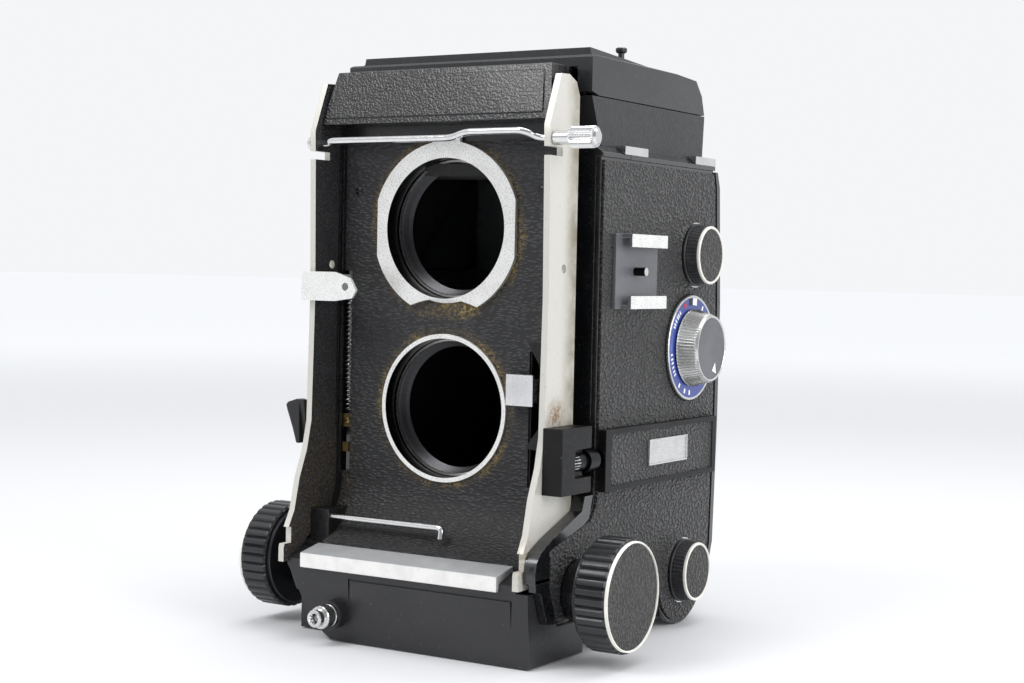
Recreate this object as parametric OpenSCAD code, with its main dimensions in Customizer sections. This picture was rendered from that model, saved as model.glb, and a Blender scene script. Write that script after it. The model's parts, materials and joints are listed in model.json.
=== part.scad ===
// Twin lens reflex camera body with interchangeable-lens front standard.
// X runs across the camera, -Y is the lens side, +Z is up.
// The origin is the centre of the tripod socket, on the base plane.

/* [Lens mounts] */
// Distance between the taking and the viewing lens axes
lens_gap = 50; // [46:0.5:60]
// Height of the taking lens axis above the base
taking_z = 65; // [62:0.5:78]
// Radius of the open bore in each lens mount
bore_r = 19.4; // [16:0.1:22]
// Wall of the thin taking lens ring
taking_wall = 1.3; // [1:0.1:1.8]
// Radius of the wide viewing lens flange
flange_r = 24.2; // [23:0.1:26]
// Half width between the flats of the viewing lens flange
flange_flat = 22.9; // [21.5:0.1:24]

/* [Body] */
// Width of the body over its side coverings
body_w = 87; // [80:1:105]
// Depth of the body from its front rim to its back
body_d = 76; // [74:1:92]
// Distance from the tripod socket forward to the front rim
front_y = 28; // [26:0.5:34]
// Rise of the top deck above the viewing lens axis
deck_rise = 20; // [20:0.5:24]
// Thickness of the side covers
cover_t = 1.5; // [1.2:0.1:2]
// Thickness of the side leatherette
leather_t = 0.6; // [0.4:0.1:0.8]
// Height of the sloping shoulder of the deck
shoulder_h = 3.2; // [2:0.1:4]
// Thickness of the bottom plate
base_t = 3; // [2.5:0.1:3.4]
// Radius of the tripod thread
tripod_r = 3.175; // [3.175:0.1:4.8]

/* [Film path] */
// Side of the square film frame
frame_side = 56; // [46:1:58]
// Length of the spool chambers
chamber_w = 67; // [66:0.5:68]
// Radius of the spool chambers
chamber_r = 14.3; // [13.5:0.1:14.5]
// Height of the upper spool above the viewing axis, negative is below
upper_spool_dz = -5.6; // [-8:0.1:-4]
// Height of the lower spool above the base
lower_spool_z = 16; // [15.5:0.1:18]

/* [Front standard] */
// Distance from the body's front rim to the face of the lens panel
standard_gap = 10; // [9:0.5:14]
// Thickness of the side plates
plate_t = 1.85; // [1.4:0.05:2.2]
// Thickness of the lens panel
panel_t = 3; // [2.5:0.1:3.4]
// Thickness of the panel leatherette
skin_t = 0.6; // [0.4:0.1:0.8]
// Height of the name cap
cap_h = 15.1; // [12:0.1:18]
// Height of the base tray
tray_h = 20; // [19:0.5:21]

/* [Focusing] */
// Radius of the focusing shaft
shaft_r = 3; // [2.4:0.1:3.2]
// Pitch radius of the pinion
pinion_r = 4; // [3.6:0.1:4.4]
// Number of pinion teeth
pinion_teeth = 10; // [8:1:14]
// Radius of the focusing knobs
knob_r = 15.3; // [12:0.1:18]
// Length of the focusing knobs
knob_len = 10.9; // [9:0.1:14]
// Length of the shaft bosses between body and knobs
boss_len = 6.3; // [5:0.1:8]
// Travel of the front standard
focus_travel = 54; // [40:1:54]

/* [Hood] */
// Height of the fixed hood frame
hood_frame_h = 13; // [12:0.1:15]
// Height of the hood lid
hood_lid_h = 13.5; // [12:0.1:16]
// Height of the folding hood walls
hood_wall_h = 28; // [20:0.5:28]

/* [Accessory shoe] */
// Width of the slot that takes an accessory foot
shoe_slot = 18.6; // [18.6:0.1:18.9]
// Length of the accessory shoe rails
shoe_len = 21.5; // [18:0.5:24]

/* [Hidden] */
$fn = 64;

run_gap = 0.06;
slide_gap = 0.3;
eps = 0.01;
cut = 60;

// Across the camera
half_w = body_w / 2;
cover_out = half_w - leather_t;
cover_in = cover_out - cover_t;
tray_half = cover_in - 0.4;
plate_out = tray_half - 1.6;
plate_in = plate_out - plate_t;
chamber_half = chamber_w / 2;
window_half = frame_side / 2;
well_half = cover_in - 6.4;

// Up the camera
viewing_z = taking_z + lens_gap;
deck_z = viewing_z + deck_rise;
deck_top = deck_z + shoulder_h;
hood_seam_z = deck_top + hood_frame_h;
lid_top = hood_seam_z + hood_lid_h;
upper_spool_z = viewing_z + upper_spool_dz;
tunnel_low = taking_z - 25;
tunnel_high = taking_z + 25;
gate_low = taking_z - window_half;
gate_high = taking_z + window_half;

// Along the camera
rim_y = -front_y;
panel_y = rim_y - standard_gap;
film_y = rim_y + body_d - 7.6;
back_y = rim_y + body_d;
well_y = rim_y + 16;
lower_spool_y = film_y - 14.8;
upper_spool_y = film_y - 10.8;
spool_bump_r = lower_spool_z;
shaft_y = panel_y + 0.3;
shaft_z = 18.9;
board_y = panel_y + skin_t;
board_back = board_y + panel_t;
mirror_y = rim_y + 29;

// Focusing rack and pinion
tooth_pitch = 2 * PI * pinion_r / pinion_teeth;
addendum = 0.62 * pinion_r / 4;
dedendum = 0.86 * pinion_r / 4;
rack_half = 2;
rack_x = cover_in - 1.9 - rack_half;
rack_top = shaft_z - pinion_r;
rack_back = lower_spool_y - 4.2;
rack_low = 9.5;
knob_x = half_w + boss_len + 0.2;

// Side fittings
strip_low = taking_z - 21;
strip_high = taking_z - 4;
strip_out = half_w + 2;
bar_r = 2.5;
bar_x = plate_out + bar_r + 0.12;
bar_z = taking_z - 12;
shoe_z = taking_z + 39.1;
shoe_y = rim_y + 20.6;
selector_y = rim_y + 55;
selector_z = taking_z + 17;
spool_shaft_r = 2.5;

// Front fittings
ramp_r = 18;
ramp_z = taking_z - 21;
wire_r = 0.95;
wire_y = panel_y - 9;
wire_z = viewing_z + 23.6;
lever_z = taking_z + 33.2;
lever_front = panel_y - 12.6;
slot_x = -34.4;
tab_x = 29.8;
release_x = -21.5;
release_z = 7.8;
sill_y = panel_y - 13.7;
sill_front = panel_y - 22.15;

// Hood
hood_half = half_w - 2.9;
hood_front = rim_y - 1.8;
hood_back = back_y - 9.4;
hood_t = 2;
wall_hinge_z = deck_top + 3.6;
wall_t = 0.8;
lid_hinge_y = hood_front + 3.4;
lid_hinge_z = lid_top - 4.9;
lid_lug_x = hood_half - 7;
lid_lug_t = 2;
lid_lug_r = 1.5;

// Outlines in the Y-Z plane
body_outline = [
    [rim_y, deck_z], [rim_y, 42.5], [rim_y - 0.6, 40], [rim_y - 2.9, 37.4],
    [panel_y + 1.7, 35.9], [panel_y - 8.8, 33.3], [panel_y - 16, 31], [panel_y - 14.3, 28.7],
    [panel_y - 14.5, 20.9], [panel_y - 12.2, 15.3], [panel_y - 10, 11], [panel_y - 2.6, 10.9],
    [lower_spool_y - spool_bump_r + 2.6, 9.6]
];
back_outline = [
    [back_y - 2.3, deck_z - 5], [back_y - 0.1, deck_z - 40], [back_y - 0.2, 59],
    [back_y - 1.6, 22.4], [film_y + 1.6, 10]
];
plate_outline = [
    [rim_y - 6.2, 30], [rim_y - 6.2, viewing_z + 35.6], [panel_y + 2, viewing_z + 39.2],
    [panel_y - 1.9, viewing_z + 40.9], [panel_y - 6.1, viewing_z + 40.7],
    [panel_y - 11.5, viewing_z + 27], [panel_y - 11.2, viewing_z + 19],
    [panel_y - 10.4, taking_z + 31], [panel_y - 11.2, taking_z - 5], [panel_y - 13, taking_z - 13],
    [panel_y - 16.2, taking_z - 21], [panel_y - 18.3, taking_z - 30],
    [panel_y - 21, taking_z - 35], [panel_y - 22.8, taking_z - 40], [panel_y - 22.8, 21],
    [panel_y - 18, 21], [panel_y - 9, 30]
];

// ---------- helpers ----------
module slab_x(x0, x1) {
    translate([x0, 0, 0]) rotate([90, 0, 90]) linear_extrude(x1 - x0) children();
}

module slab_y(y0, y1) {
    translate([0, y1, 0]) rotate([90, 0, 0]) linear_extrude(y1 - y0) children();
}

module block(x0, x1, y0, y1, z0, z1) {
    translate([x0, y0, z0]) cube([x1 - x0, y1 - y0, z1 - z0]);
}

module rod_x(r, x0, x1, y, z) {
    translate([x0, y, z]) rotate([0, 90, 0]) cylinder(r = r, h = x1 - x0);
}

module rod_y(r, y0, y1, x, z) {
    translate([x, y0, z]) rotate([-90, 0, 0]) cylinder(r = r, h = y1 - y0);
}

module cone_x(r0, r1, x0, x1, y, z) {
    translate([x0, y, z]) rotate([0, 90, 0]) cylinder(r1 = r0, r2 = r1, h = x1 - x0);
}

module mirrored() {
    children();
    mirror([1, 0, 0]) children();
}

module side_outline() {
    union() {
        polygon(concat(body_outline, [
            [lower_spool_y, 9.6], [film_y + 0.2, 9.6], [back_y - 4, 22.4], [back_y - 2.6, 59],
            [back_y - 2.5, deck_z - 40], [back_y - 4.6, deck_z - 5], [back_y - 6, deck_z]
        ]));
        translate([lower_spool_y, lower_spool_z]) circle(r = spool_bump_r);
    }
}

// ---------- fixed body ----------
module shell_cavities() {
    // Bellows well behind the lens panel
    block(-well_half, well_half, rim_y - 1, well_y, 27, deck_z - 0.6);
    // Viewing chamber above the mirror
    slab_x(-window_half - 1, window_half + 1) polygon([
        [well_y - eps, viewing_z - 22], [mirror_y - 22, viewing_z - 22],
        [mirror_y + 20, viewing_z + 20], [mirror_y + 20, deck_top + 1],
        [hood_front + 10, deck_top + 1], [hood_front + 10, deck_z - 1], [well_y - eps, deck_z - 1]
    ]);
    // Taking chamber
    slab_x(-window_half - 2, window_half + 2) polygon([
        [well_y - eps, tunnel_low], [film_y - 12, gate_low], [film_y - 3, gate_low],
        [film_y - 3, gate_high], [film_y - 9, gate_high], [film_y - 16, tunnel_high],
        [well_y - eps, tunnel_high]
    ]);
    block(-window_half, window_half, film_y - 4, film_y + 10, gate_low, gate_high);
    // Spool chambers, open to the back
    rod_x(chamber_r, -chamber_half, chamber_half, lower_spool_y, lower_spool_z);
    block(-chamber_half, chamber_half, lower_spool_y, film_y + 10,
          lower_spool_z - 9, lower_spool_z + 11);
    rod_x(chamber_r, -chamber_half, chamber_half, upper_spool_y, upper_spool_z);
    block(-chamber_half, chamber_half, upper_spool_y, film_y + 10,
          upper_spool_z - 11, upper_spool_z + 11);
    mirrored() {
        // Gear spaces behind the side covers
        block(well_half + 1.5, cut, rim_y + 10, upper_spool_y - 18, 62.5, deck_z - 8);
        // Rack channels
        block(rack_x - rack_half - slide_gap, rack_x + rack_half + slide_gap,
              rim_y - 1, rack_back + 1.2, rack_low - 0.7, rack_top + 1.6);
    }
    cylinder(r = 6 + run_gap, h = 8.2);
    // Spool shafts, selector shaft and crank shaft
    rod_x(spool_shaft_r + run_gap, -cut, cut, lower_spool_y, lower_spool_z);
    rod_x(spool_shaft_r + run_gap, -cut, cut, upper_spool_y, upper_spool_z);
    rod_x(3 + run_gap, well_half - 1, cut, selector_y, selector_z);
    // Tunnel of the distance scale bar
    rod_y(bar_r + slide_gap, rim_y - 1, rim_y + 44, bar_x, bar_z);
    // Baffle pivots
    rod_x(1 + run_gap, -window_half - 4, window_half + 4, well_y + 1.6, tunnel_high - 1.6);
}

module whole_shell() {
    difference() {
        union() {
            slab_x(-cover_in, cover_in) union() {
                polygon([
                    [rim_y, deck_z], [rim_y, 8.8], [lower_spool_y, 8.8], [film_y, 8.8],
                    [film_y, deck_z]
                ]);
                polygon([
                    [rim_y + 8, base_t], [lower_spool_y, base_t], [lower_spool_y, 9], [rim_y + 8, 9]
                ]);
                translate([lower_spool_y, lower_spool_z]) circle(r = spool_bump_r);
            }
            // Top deck with sloping shoulders
            slab_y(rim_y, back_y - 6) polygon([
                [-half_w, deck_z], [half_w, deck_z], [half_w, deck_z + 1.2],
                [hood_half, deck_top], [-hood_half, deck_top], [-half_w, deck_z + 1.2]
            ]);
            // Door hinge lugs and pin
            mirrored() hull() {
                rod_x(2.3, chamber_half - 4, chamber_half - 1, film_y + 1.1, 7);
                rod_x(2.3, chamber_half - 4, chamber_half - 1, film_y - 6, 7);
            }
        }
        difference() {
            shell_cavities();
            // Mirror cradle left standing inside the well
            slab_x(-window_half, window_half) polygon([
                [mirror_y - 20, viewing_z - 22.3], [mirror_y - 20, viewing_z - 21],
                [well_y + 1, viewing_z + well_y + 1 - mirror_y - 1],
                [well_y + 1, viewing_z - 24.8], [mirror_y - 16, viewing_z - 24.8]
            ]);
        }
        rod_x(1.2, -chamber_half, chamber_half, film_y + 1.1, 7);
    }
}

module front_box() {
    // Frame round the bellows well, in front of the mirror box
    color([0.12, 0.12, 0.13]) intersection() {
        whole_shell();
        block(-cut, cut, -cut * 2, well_y, -cut, cut * 4);
    }
}

module body_shell() {
    color([0.12, 0.12, 0.13]) intersection() {
        whole_shell();
        block(-cut, cut, well_y, cut * 2, -cut, cut * 4);
    }
    color([0.6, 0.6, 0.62])
        rod_x(1.2, -chamber_half + 1, chamber_half - 1, film_y + 1.1, 7);
}

module side_cover(side) {
    difference() {
        slab_x(cover_in, cover_out) side_outline();
        rod_x(8 + run_gap, 0, cut, shaft_y, shaft_z);
        rod_x(spool_shaft_r + run_gap, 0, cut, upper_spool_y, upper_spool_z);
        if (side > 0) {
            rod_x(spool_shaft_r + run_gap, 0, cut, lower_spool_y, lower_spool_z);
            rod_x(3 + run_gap, 0, cut, selector_y, selector_z);
            rod_y(bar_r + slide_gap, rim_y - 1, rim_y + 44, bar_x, bar_z);
        }
        if (side < 0) rod_x(2 + run_gap, 0, cut, rim_y + 12, taking_z - 6);
    }
}

module side_cover_right() {
    color([0.1, 0.1, 0.11]) side_cover(1);
}

module side_cover_left() {
    color([0.1, 0.1, 0.11]) mirror([1, 0, 0]) side_cover(-1);
}

module side_leather(side) {
    difference() {
        slab_x(cover_out, half_w) offset(-0.9) side_outline();
        rod_x(8.4, 0, cut, shaft_y, shaft_z);
        rod_x(spool_shaft_r + 0.3, 0, cut, upper_spool_y, upper_spool_z);
        if (side > 0) {
            rod_x(spool_shaft_r + 0.3, 0, cut, lower_spool_y, lower_spool_z);
            rod_x(3.4, 0, cut, selector_y, selector_z);
            block(0, cut, rim_y, rim_y + 72, strip_low, strip_high);
        }
        if (side < 0) rod_x(2.4, 0, cut, rim_y + 12, taking_z - 6);
    }
}

module leather_right() {
    color([0.16, 0.16, 0.16]) side_leather(1);
}

module leather_left() {
    color([0.16, 0.16, 0.16]) mirror([1, 0, 0]) side_leather(-1);
}

module bottom_plate() {
    color([0.1, 0.1, 0.11]) difference() {
        block(-well_half, well_half, rim_y + 8, lower_spool_y - 13.5, 0, base_t);
        cylinder(r = 9 + run_gap, h = 20, center = true);
        for (x = [-1, 1], y = [rim_y + 12, lower_spool_y - 17.5])
            translate([x * (well_half - 4), y, -1]) cylinder(r = 1.6, h = 10);
    }
}

module tripod_bush() {
    color([0.75, 0.75, 0.77]) difference() {
        union() {
            cylinder(r = 9, h = base_t);
            translate([0, 0, base_t]) cylinder(r = 6, h = 5);
        }
        translate([0, 0, -1]) cylinder(r = tripod_r, h = 20);
    }
}

module viewing_mirror() {
    color([0.8, 0.85, 0.9]) translate([0, mirror_y, viewing_z]) rotate([45, 0, 0])
        translate([-window_half, -28, 0]) cube([2 * window_half, 56, 1.4]);
}

module focusing_screen() {
    color([0.8, 0.85, 0.85, 0.5])
        block(-window_half - 3, window_half + 3, hood_front + 7.8, mirror_y + 24, deck_top, deck_top + 1.6);
}

module accessory_shoe() {
    half = shoe_slot / 2;
    x0 = half_w;
    color([0.8, 0.8, 0.82]) {
        block(x0, x0 + 1, shoe_y - 14, shoe_y + shoe_len / 2, shoe_z - half - 1, shoe_z + half + 1);
        for (s = [-1, 1]) translate([0, 0, shoe_z]) mirror([0, 0, s > 0 ? 0 : 1]) {
            block(x0 + 1 - eps, x0 + 4.2, shoe_y - shoe_len / 2, shoe_y + shoe_len / 2,
                  half, half + 1);
            block(x0 + 3.2, x0 + 4.2, shoe_y - shoe_len / 2, shoe_y + shoe_len / 2,
                  half - 2.6, half + 1);
        }
        rod_x(1.2, x0 + 1 - eps, x0 + 4.6, shoe_y - 2.7, shoe_z);
    }
}

module scale_housing() {
    color([0.1, 0.1, 0.11]) difference() {
        union() {
            block(half_w, strip_out, rim_y + 1.6, rim_y + 71, strip_low, strip_high);
            block(cover_out, half_w, rim_y + 1.6, rim_y + 71, strip_low + slide_gap,
                  strip_high - slide_gap);
        }
        rod_y(bar_r + slide_gap, rim_y, rim_y + 44, bar_x, bar_z);
        block(strip_out - 0.4, cut, rim_y + 5, rim_y + 68.5, strip_low + 1.5, strip_high - 1.5);
    }
}

module scale_label() {
    color([0.85, 0.85, 0.86])
        block(strip_out - 0.4, strip_out + 0.3, rim_y + 26.9, rim_y + 51, bar_z - 3.7, bar_z + 3.7);
}

module selector_dial() {
    color([0.1, 0.15, 0.5]) difference() {
        rod_x(15.9, half_w, half_w + 1, selector_y, selector_z);
        rod_x(3.4, 0, cut, selector_y, selector_z);
    }
}

module strap_lugs() {
    color([0.75, 0.75, 0.77]) mirrored() {
        for (y = [rim_y + 12, back_y - 20]) difference() {
            block(half_w - 2.6, half_w + 0.4, y, y + 13.5, deck_z + 1.2, deck_z + 3.6);
            block(half_w - 1.6, half_w - 0.5, y + 2.5, y + 11, deck_z - 1, deck_z + 8);
            slab_y(y - 1, y + 20) polygon([
                [half_w - 10, deck_z + 1.2], [half_w, deck_z + 1.2],
                [hood_half, deck_top], [half_w - 10, deck_top]
            ]);
        }
    }
}

module hood_frame() {
    color([0.13, 0.13, 0.14]) difference() {
        union() {
            slab_x(-hood_half, hood_half) polygon([
                [hood_front + 5.6, deck_top], [hood_back, deck_top],
                [hood_back + 1, hood_seam_z], [hood_front, hood_seam_z]
            ]);
        }
        slab_x(-hood_half + hood_t, hood_half - hood_t) polygon([
            [hood_front + 5.6 + hood_t, deck_top - 1], [hood_back - hood_t, deck_top - 1],
            [hood_back - hood_t, hood_seam_z + 1], [hood_front + hood_t, hood_seam_z + 1]
        ]);
    }
    // Ledges that carry the hinges of the folding walls
    color([0.13, 0.13, 0.14]) {
        mirrored() block(hood_half - hood_t - 1.2, hood_half - hood_t, rim_y + 8, hood_back - 4,
                         wall_hinge_z - 2.4, wall_hinge_z - 1.2);
        block(-hood_half + 8, hood_half - 8, hood_back - hood_t - 1.2, hood_back - hood_t,
              wall_hinge_z - 2.4, wall_hinge_z - 1.2);
    }
    // Uprights inside the lid, with the pin that the lid turns on
    color([0.5, 0.5, 0.52]) {
        mirrored() slab_x(lid_lug_x, lid_lug_x + lid_lug_t) union() {
            translate([lid_hinge_y, lid_hinge_z]) circle(r = lid_lug_r);
            polygon([
                [hood_front + 3, hood_seam_z - 6], [lid_hinge_y + 4.4, hood_seam_z - 3],
                [lid_hinge_y + 4.4, lid_hinge_z - 3.4], [lid_hinge_y + 1.2, lid_hinge_z + 0.5],
                [lid_hinge_y + 0.9, lid_hinge_z - 1], [lid_hinge_y + 2.2, lid_hinge_z - 4],
                [lid_hinge_y + 2.2, hood_seam_z - 2], [hood_front + 3, hood_seam_z - 2]
            ]);
        }
        rod_x(0.9, -lid_lug_x - 1, lid_lug_x + 1, lid_hinge_y, lid_hinge_z);
    }
}

module counter_window() {
    color([0.7, 0.75, 0.8, 0.6]) mirror([1, 0, 0])
        block(half_w, half_w + 1, rim_y + 24, rim_y + 36, viewing_z - 2, viewing_z + 5);
}

module shaft_bushes() {
    color([0.12, 0.12, 0.13]) mirrored() difference() {
        union() {
            rod_x(8, cover_in, half_w + boss_len - 1.5, shaft_y, shaft_z);
            rod_x(6.4, half_w + boss_len - 1.6, half_w + boss_len, shaft_y, shaft_z);
        }
        rod_x(shaft_r + run_gap, 0, cut, shaft_y, shaft_z);
    }
}

module body_screws() {
    color([0.7, 0.7, 0.72])
        for (x = [-1, 1], y = [rim_y + 12, lower_spool_y - 17.5])
            translate([x * (well_half - 4), y, 0.4]) difference() {
                cylinder(r = 1.6, h = base_t - 0.4);
                translate([0, 0, -0.1]) cube([2.6, 0.5, 1], center = true);
            }
}

module bellows() {
    color([0.08, 0.08, 0.09]) difference() {
        block(-well_half + 1, well_half - 1, board_back + slide_gap, well_y - slide_gap,
              28, deck_z - 1.6);
        block(-window_half - 2.2, window_half + 2.2, board_back - 1, well_y + 1,
              31.5, deck_z - 5);
    }
}

// ---------- front standard ----------
module ramp_disc(t) {
    translate([panel_y - ramp_r, ramp_z]) circle(r = ramp_r + t);
}

module panel_profile(t0, t1) {
    // Flat strip between two depths behind the face, running into a ramp down to the sill
    translate([panel_y + t0, ramp_z]) square([t1 - t0, viewing_z + 28.8 - ramp_z]);
    difference() {
        intersection() {
            ramp_disc(t1);
            translate([sill_y, ramp_z - cut]) square([cut, cut]);
        }
        ramp_disc(t0);
    }
}

module panel_slots(extra) {
    // Slot of the cocking lever and slot of the release tab
    block(slot_x - 1.7 - extra, slot_x + 1.7 + extra, -cut * 2, 0, taking_z - 20, lever_z + 4.5);
    block(tab_x - 1.7 - extra, tab_x + 1.7 + extra, -cut * 2, 0, taking_z - 20, taking_z + 17);
}

module lens_panel() {
    color([0.1, 0.1, 0.11]) difference() {
        union() {
            slab_x(-plate_in, plate_in) union() {
                panel_profile(skin_t, skin_t + panel_t);
                difference() {
                    polygon([
                        [sill_y, tray_h + 9], [sill_y, tray_h + 2.5], [shaft_y - 5.8, tray_h + 2.5],
                        [shaft_y - 5.8, tray_h + 5], [board_back - 4, tray_h + 5],
                        [board_back - 4, tray_h + 13]
                    ]);
                    ramp_disc(skin_t);
                }
            }
            block(-plate_in, -plate_in + 6.5, panel_y - 11, panel_y - 3, taking_z - 39, taking_z - 30);
        }
        for (z = [taking_z, viewing_z])
            rod_y(bore_r + taking_wall + run_gap, -cut * 2, 0, 0, z);
        panel_slots(0);
        rod_x(wire_r + run_gap, -plate_in + 2, 0, panel_y - 9.5, taking_z - 32);
    }
}

module panel_leather() {
    color([0.14, 0.14, 0.14]) difference() {
        slab_x(-34.8, plate_in) intersection() {
            panel_profile(0, skin_t);
            translate([panel_y - 40, tray_h]) square([80, viewing_z + 24 - tray_h]);
        }
        for (z = [taking_z, viewing_z])
            rod_y(bore_r + taking_wall + run_gap, -cut * 2, 0, 0, z);
        panel_slots(0.4);
        block(-cut, -plate_in + 6.6, -cut * 2, 0, taking_z - 39.1, taking_z - 29.9);
    }
}

module viewing_ring() {
    color([0.8, 0.8, 0.82]) difference() {
        union() {
            slab_y(panel_y - 1.2, panel_y) difference() {
                union() {
                    intersection() {
                        translate([0, viewing_z]) circle(r = flange_r);
                        translate([-flange_flat, viewing_z - 40]) square([2 * flange_flat, 80]);
                    }
                    translate([-4.6, viewing_z + flange_r - 2]) square([9.2, 3]);
                }
                translate([0, taking_z]) circle(r = 30.5);
            }
            rod_y(bore_r + taking_wall, panel_y - eps, board_back, 0, viewing_z);
        }
        rod_y(bore_r + 0.1, -cut * 2, 0, 0, viewing_z);
    }
}

module taking_ring() {
    color([0.8, 0.8, 0.82]) difference() {
        rod_y(bore_r + taking_wall, panel_y - 0.6, board_back, 0, taking_z);
        rod_y(bore_r, -cut * 2, 0, 0, taking_z);
    }
}

module side_plate() {
    difference() {
        slab_x(plate_in, plate_out) polygon(plate_outline);
        // Notch under the lock wire, foot notch and pivot hole
        block(0, cut, -cut * 2, wire_y + 4.3, wire_z - 4.6, wire_z - 2.3);
        block(0, cut, -cut * 2, panel_y - 19.6, taking_z - 39, taking_z - 34.5);
        rod_x(wire_r + run_gap, 0, cut, wire_y, wire_z);
        rod_x(1.2, 0, cut, panel_y - 2.8, taking_z + 39.4);
    }
}

module side_plate_right() {
    color([0.9, 0.89, 0.85]) side_plate();
}

module side_plate_left() {
    color([0.9, 0.89, 0.85]) mirror([1, 0, 0]) side_plate();
}

module name_cap() {
    z0 = viewing_z + 28.8;
    slope = 4.3 / cap_h;
    low = 1.8;
    high = cap_h - 1.8;
    color([0.1, 0.1, 0.11]) intersection() {
        slab_x(-plate_in, plate_in) polygon([
            [board_back, z0], [board_back, z0 + cap_h], [panel_y - 4.2, z0 + cap_h],
            [panel_y - 8.5, z0]
        ]);
        slab_y(panel_y - 20, panel_y + 20) polygon([
            [-plate_in, z0], [plate_in, z0], [plate_in, z0 + 1.5],
            [plate_in - 2.3, z0 + cap_h], [2.3 - plate_in, z0 + cap_h], [-plate_in, z0 + 1.5]
        ]);
    }
    // Raised blank field
    color([0.15, 0.15, 0.16]) intersection() {
        slab_x(-plate_in, plate_in) polygon([
            [panel_y - 7.5 + slope * low, z0 + low], [panel_y - 7.5 + slope * high, z0 + high],
            [panel_y - 9 + slope * high, z0 + high], [panel_y - 9 + slope * low, z0 + low]
        ]);
        slab_y(panel_y - 20, panel_y + 20) polygon([
            [2.2 - plate_in, z0], [plate_in - 2.2, z0],
            [plate_in - 4.4, z0 + cap_h], [4.4 - plate_in, z0 + cap_h]
        ]);
    }
}

module sill() {
    color([0.85, 0.85, 0.86]) slab_x(-plate_in + 5.2, plate_in - 5.2) polygon([
        [sill_y, tray_h], [sill_y, tray_h + 5.9], [sill_front, tray_h + 4.1], [sill_front, tray_h]
    ]);
}

module base_tray() {
    color([0.1, 0.1, 0.11]) difference() {
        union() {
            // Front block
            slab_x(-tray_half, tray_half) polygon([
                [panel_y - 19.2, 0.4], [panel_y - 20.6, tray_h], [shaft_y - 5.8, tray_h],
                [shaft_y - 5.8, 0.4]
            ]);
            slab_x(-plate_in, plate_in) polygon([
                [sill_y, tray_h - 1], [sill_y, tray_h + 2.5], [shaft_y - 5.8, tray_h + 2.5],
                [shaft_y - 5.8, tray_h - 1]
            ]);
            // Blocks beside the sill
            mirrored() slab_x(plate_in - 5.2, plate_in) polygon([
                [sill_y, tray_h], [sill_y, tray_h + 4.6], [sill_front + 1.2, tray_h + 2],
                [sill_front + 1.2, tray_h]
            ]);
            // Floor and low side walls that run back under the body
            block(-tray_half, tray_half, panel_y - 10, rim_y - 1, 0.4, 2.4);
            mirrored() block(tray_half - 1.2, tray_half, panel_y - 10, rim_y - 1, 0.4, 9.4);
            // Collar of the release button
            rod_y(4, panel_y - 22.6, panel_y - 12, release_x, release_z);
        }
        // Cut-back lower corner beside the release button
        slab_y(panel_y - 30, panel_y - 10) polygon([
            [-tray_half - 1, tray_h], [-tray_half + 3.4, tray_h], [-tray_half + 9.8, 7.6],
            [-tray_half + 15, 2.1], [-tray_half + 18, 0], [-tray_half - 1, 0]
        ]);
        // Grooves round the blank front plate
        slab_y(panel_y - 30, panel_y - 19.9) difference() {
            translate([-16.8, 2.8]) square([tray_half + 12, 15.4]);
            translate([-16.2, 3.4]) square([tray_half + 10.8, 14.2]);
        }
        rod_y(3.2 + run_gap, panel_y - 30, panel_y - 14, release_x, release_z);
        // Hollow inside of the front block
        block(-tray_half + 20, tray_half - 4, panel_y - 16, shaft_y, 2.4, tray_h - 2);
    }
}

module rack_profile() {
    // Teeth point up; a gap stands under the shaft at rest
    count = floor((rack_back - shaft_y) / tooth_pitch);
    polygon(concat(
        [[rack_back, rack_low], [rack_back, rack_top - dedendum]],
        [for (i = [count : -1 : -1]) let (y = shaft_y + (i + 0.5) * tooth_pitch) each [
            [min(y + 0.24 * tooth_pitch, rack_back - eps), rack_top - dedendum],
            [min(y + 0.1 * tooth_pitch, rack_back - 2 * eps), rack_top + addendum],
            [y - 0.1 * tooth_pitch, rack_top + addendum],
            [y - 0.24 * tooth_pitch, rack_top - dedendum]
        ]],
        [[shaft_y - 5.8, rack_top - dedendum], [shaft_y - 5.8, rack_low]]
    ));
}

module racks() {
    color([0.7, 0.7, 0.72])
        mirrored() slab_x(rack_x - rack_half, rack_x + rack_half) rack_profile();
}

module scale_block() {
    color([0.1, 0.1, 0.11]) difference() {
        block(plate_out, strip_out, panel_y - 12, rim_y - 6.4, taking_z - 20, taking_z - 2.3);
        rod_y(bar_r + run_gap, panel_y - 11, 0, bar_x, bar_z);
        block(plate_out + 3.4, cut, rim_y - 15, 0, bar_z - 3.8, bar_z + 3.8);
    }
}

module panel_screws() {
    color([0.5, 0.5, 0.52]) for (p = [[30.4, viewing_z + 10.4], [-30.4, viewing_z + 10.4]])
        difference() {
            rod_y(1.5, panel_y - 0.5, panel_y, p[0], p[1]);
            block(p[0] - 1.3, p[0] + 1.3, panel_y - 1, panel_y - 0.2, p[1] - 0.25, p[1] + 0.25);
        }
}

module release_button() {
    color([0.85, 0.85, 0.86]) difference() {
        union() {
            rod_y(3.2, panel_y - 27, panel_y - 18, release_x, release_z);
            rod_y(2.4, panel_y - 29.5, panel_y - 27 + eps, release_x, release_z);
        }
        rod_y(1.3, panel_y - 31, panel_y - 24, release_x, release_z);
    }
}

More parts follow.
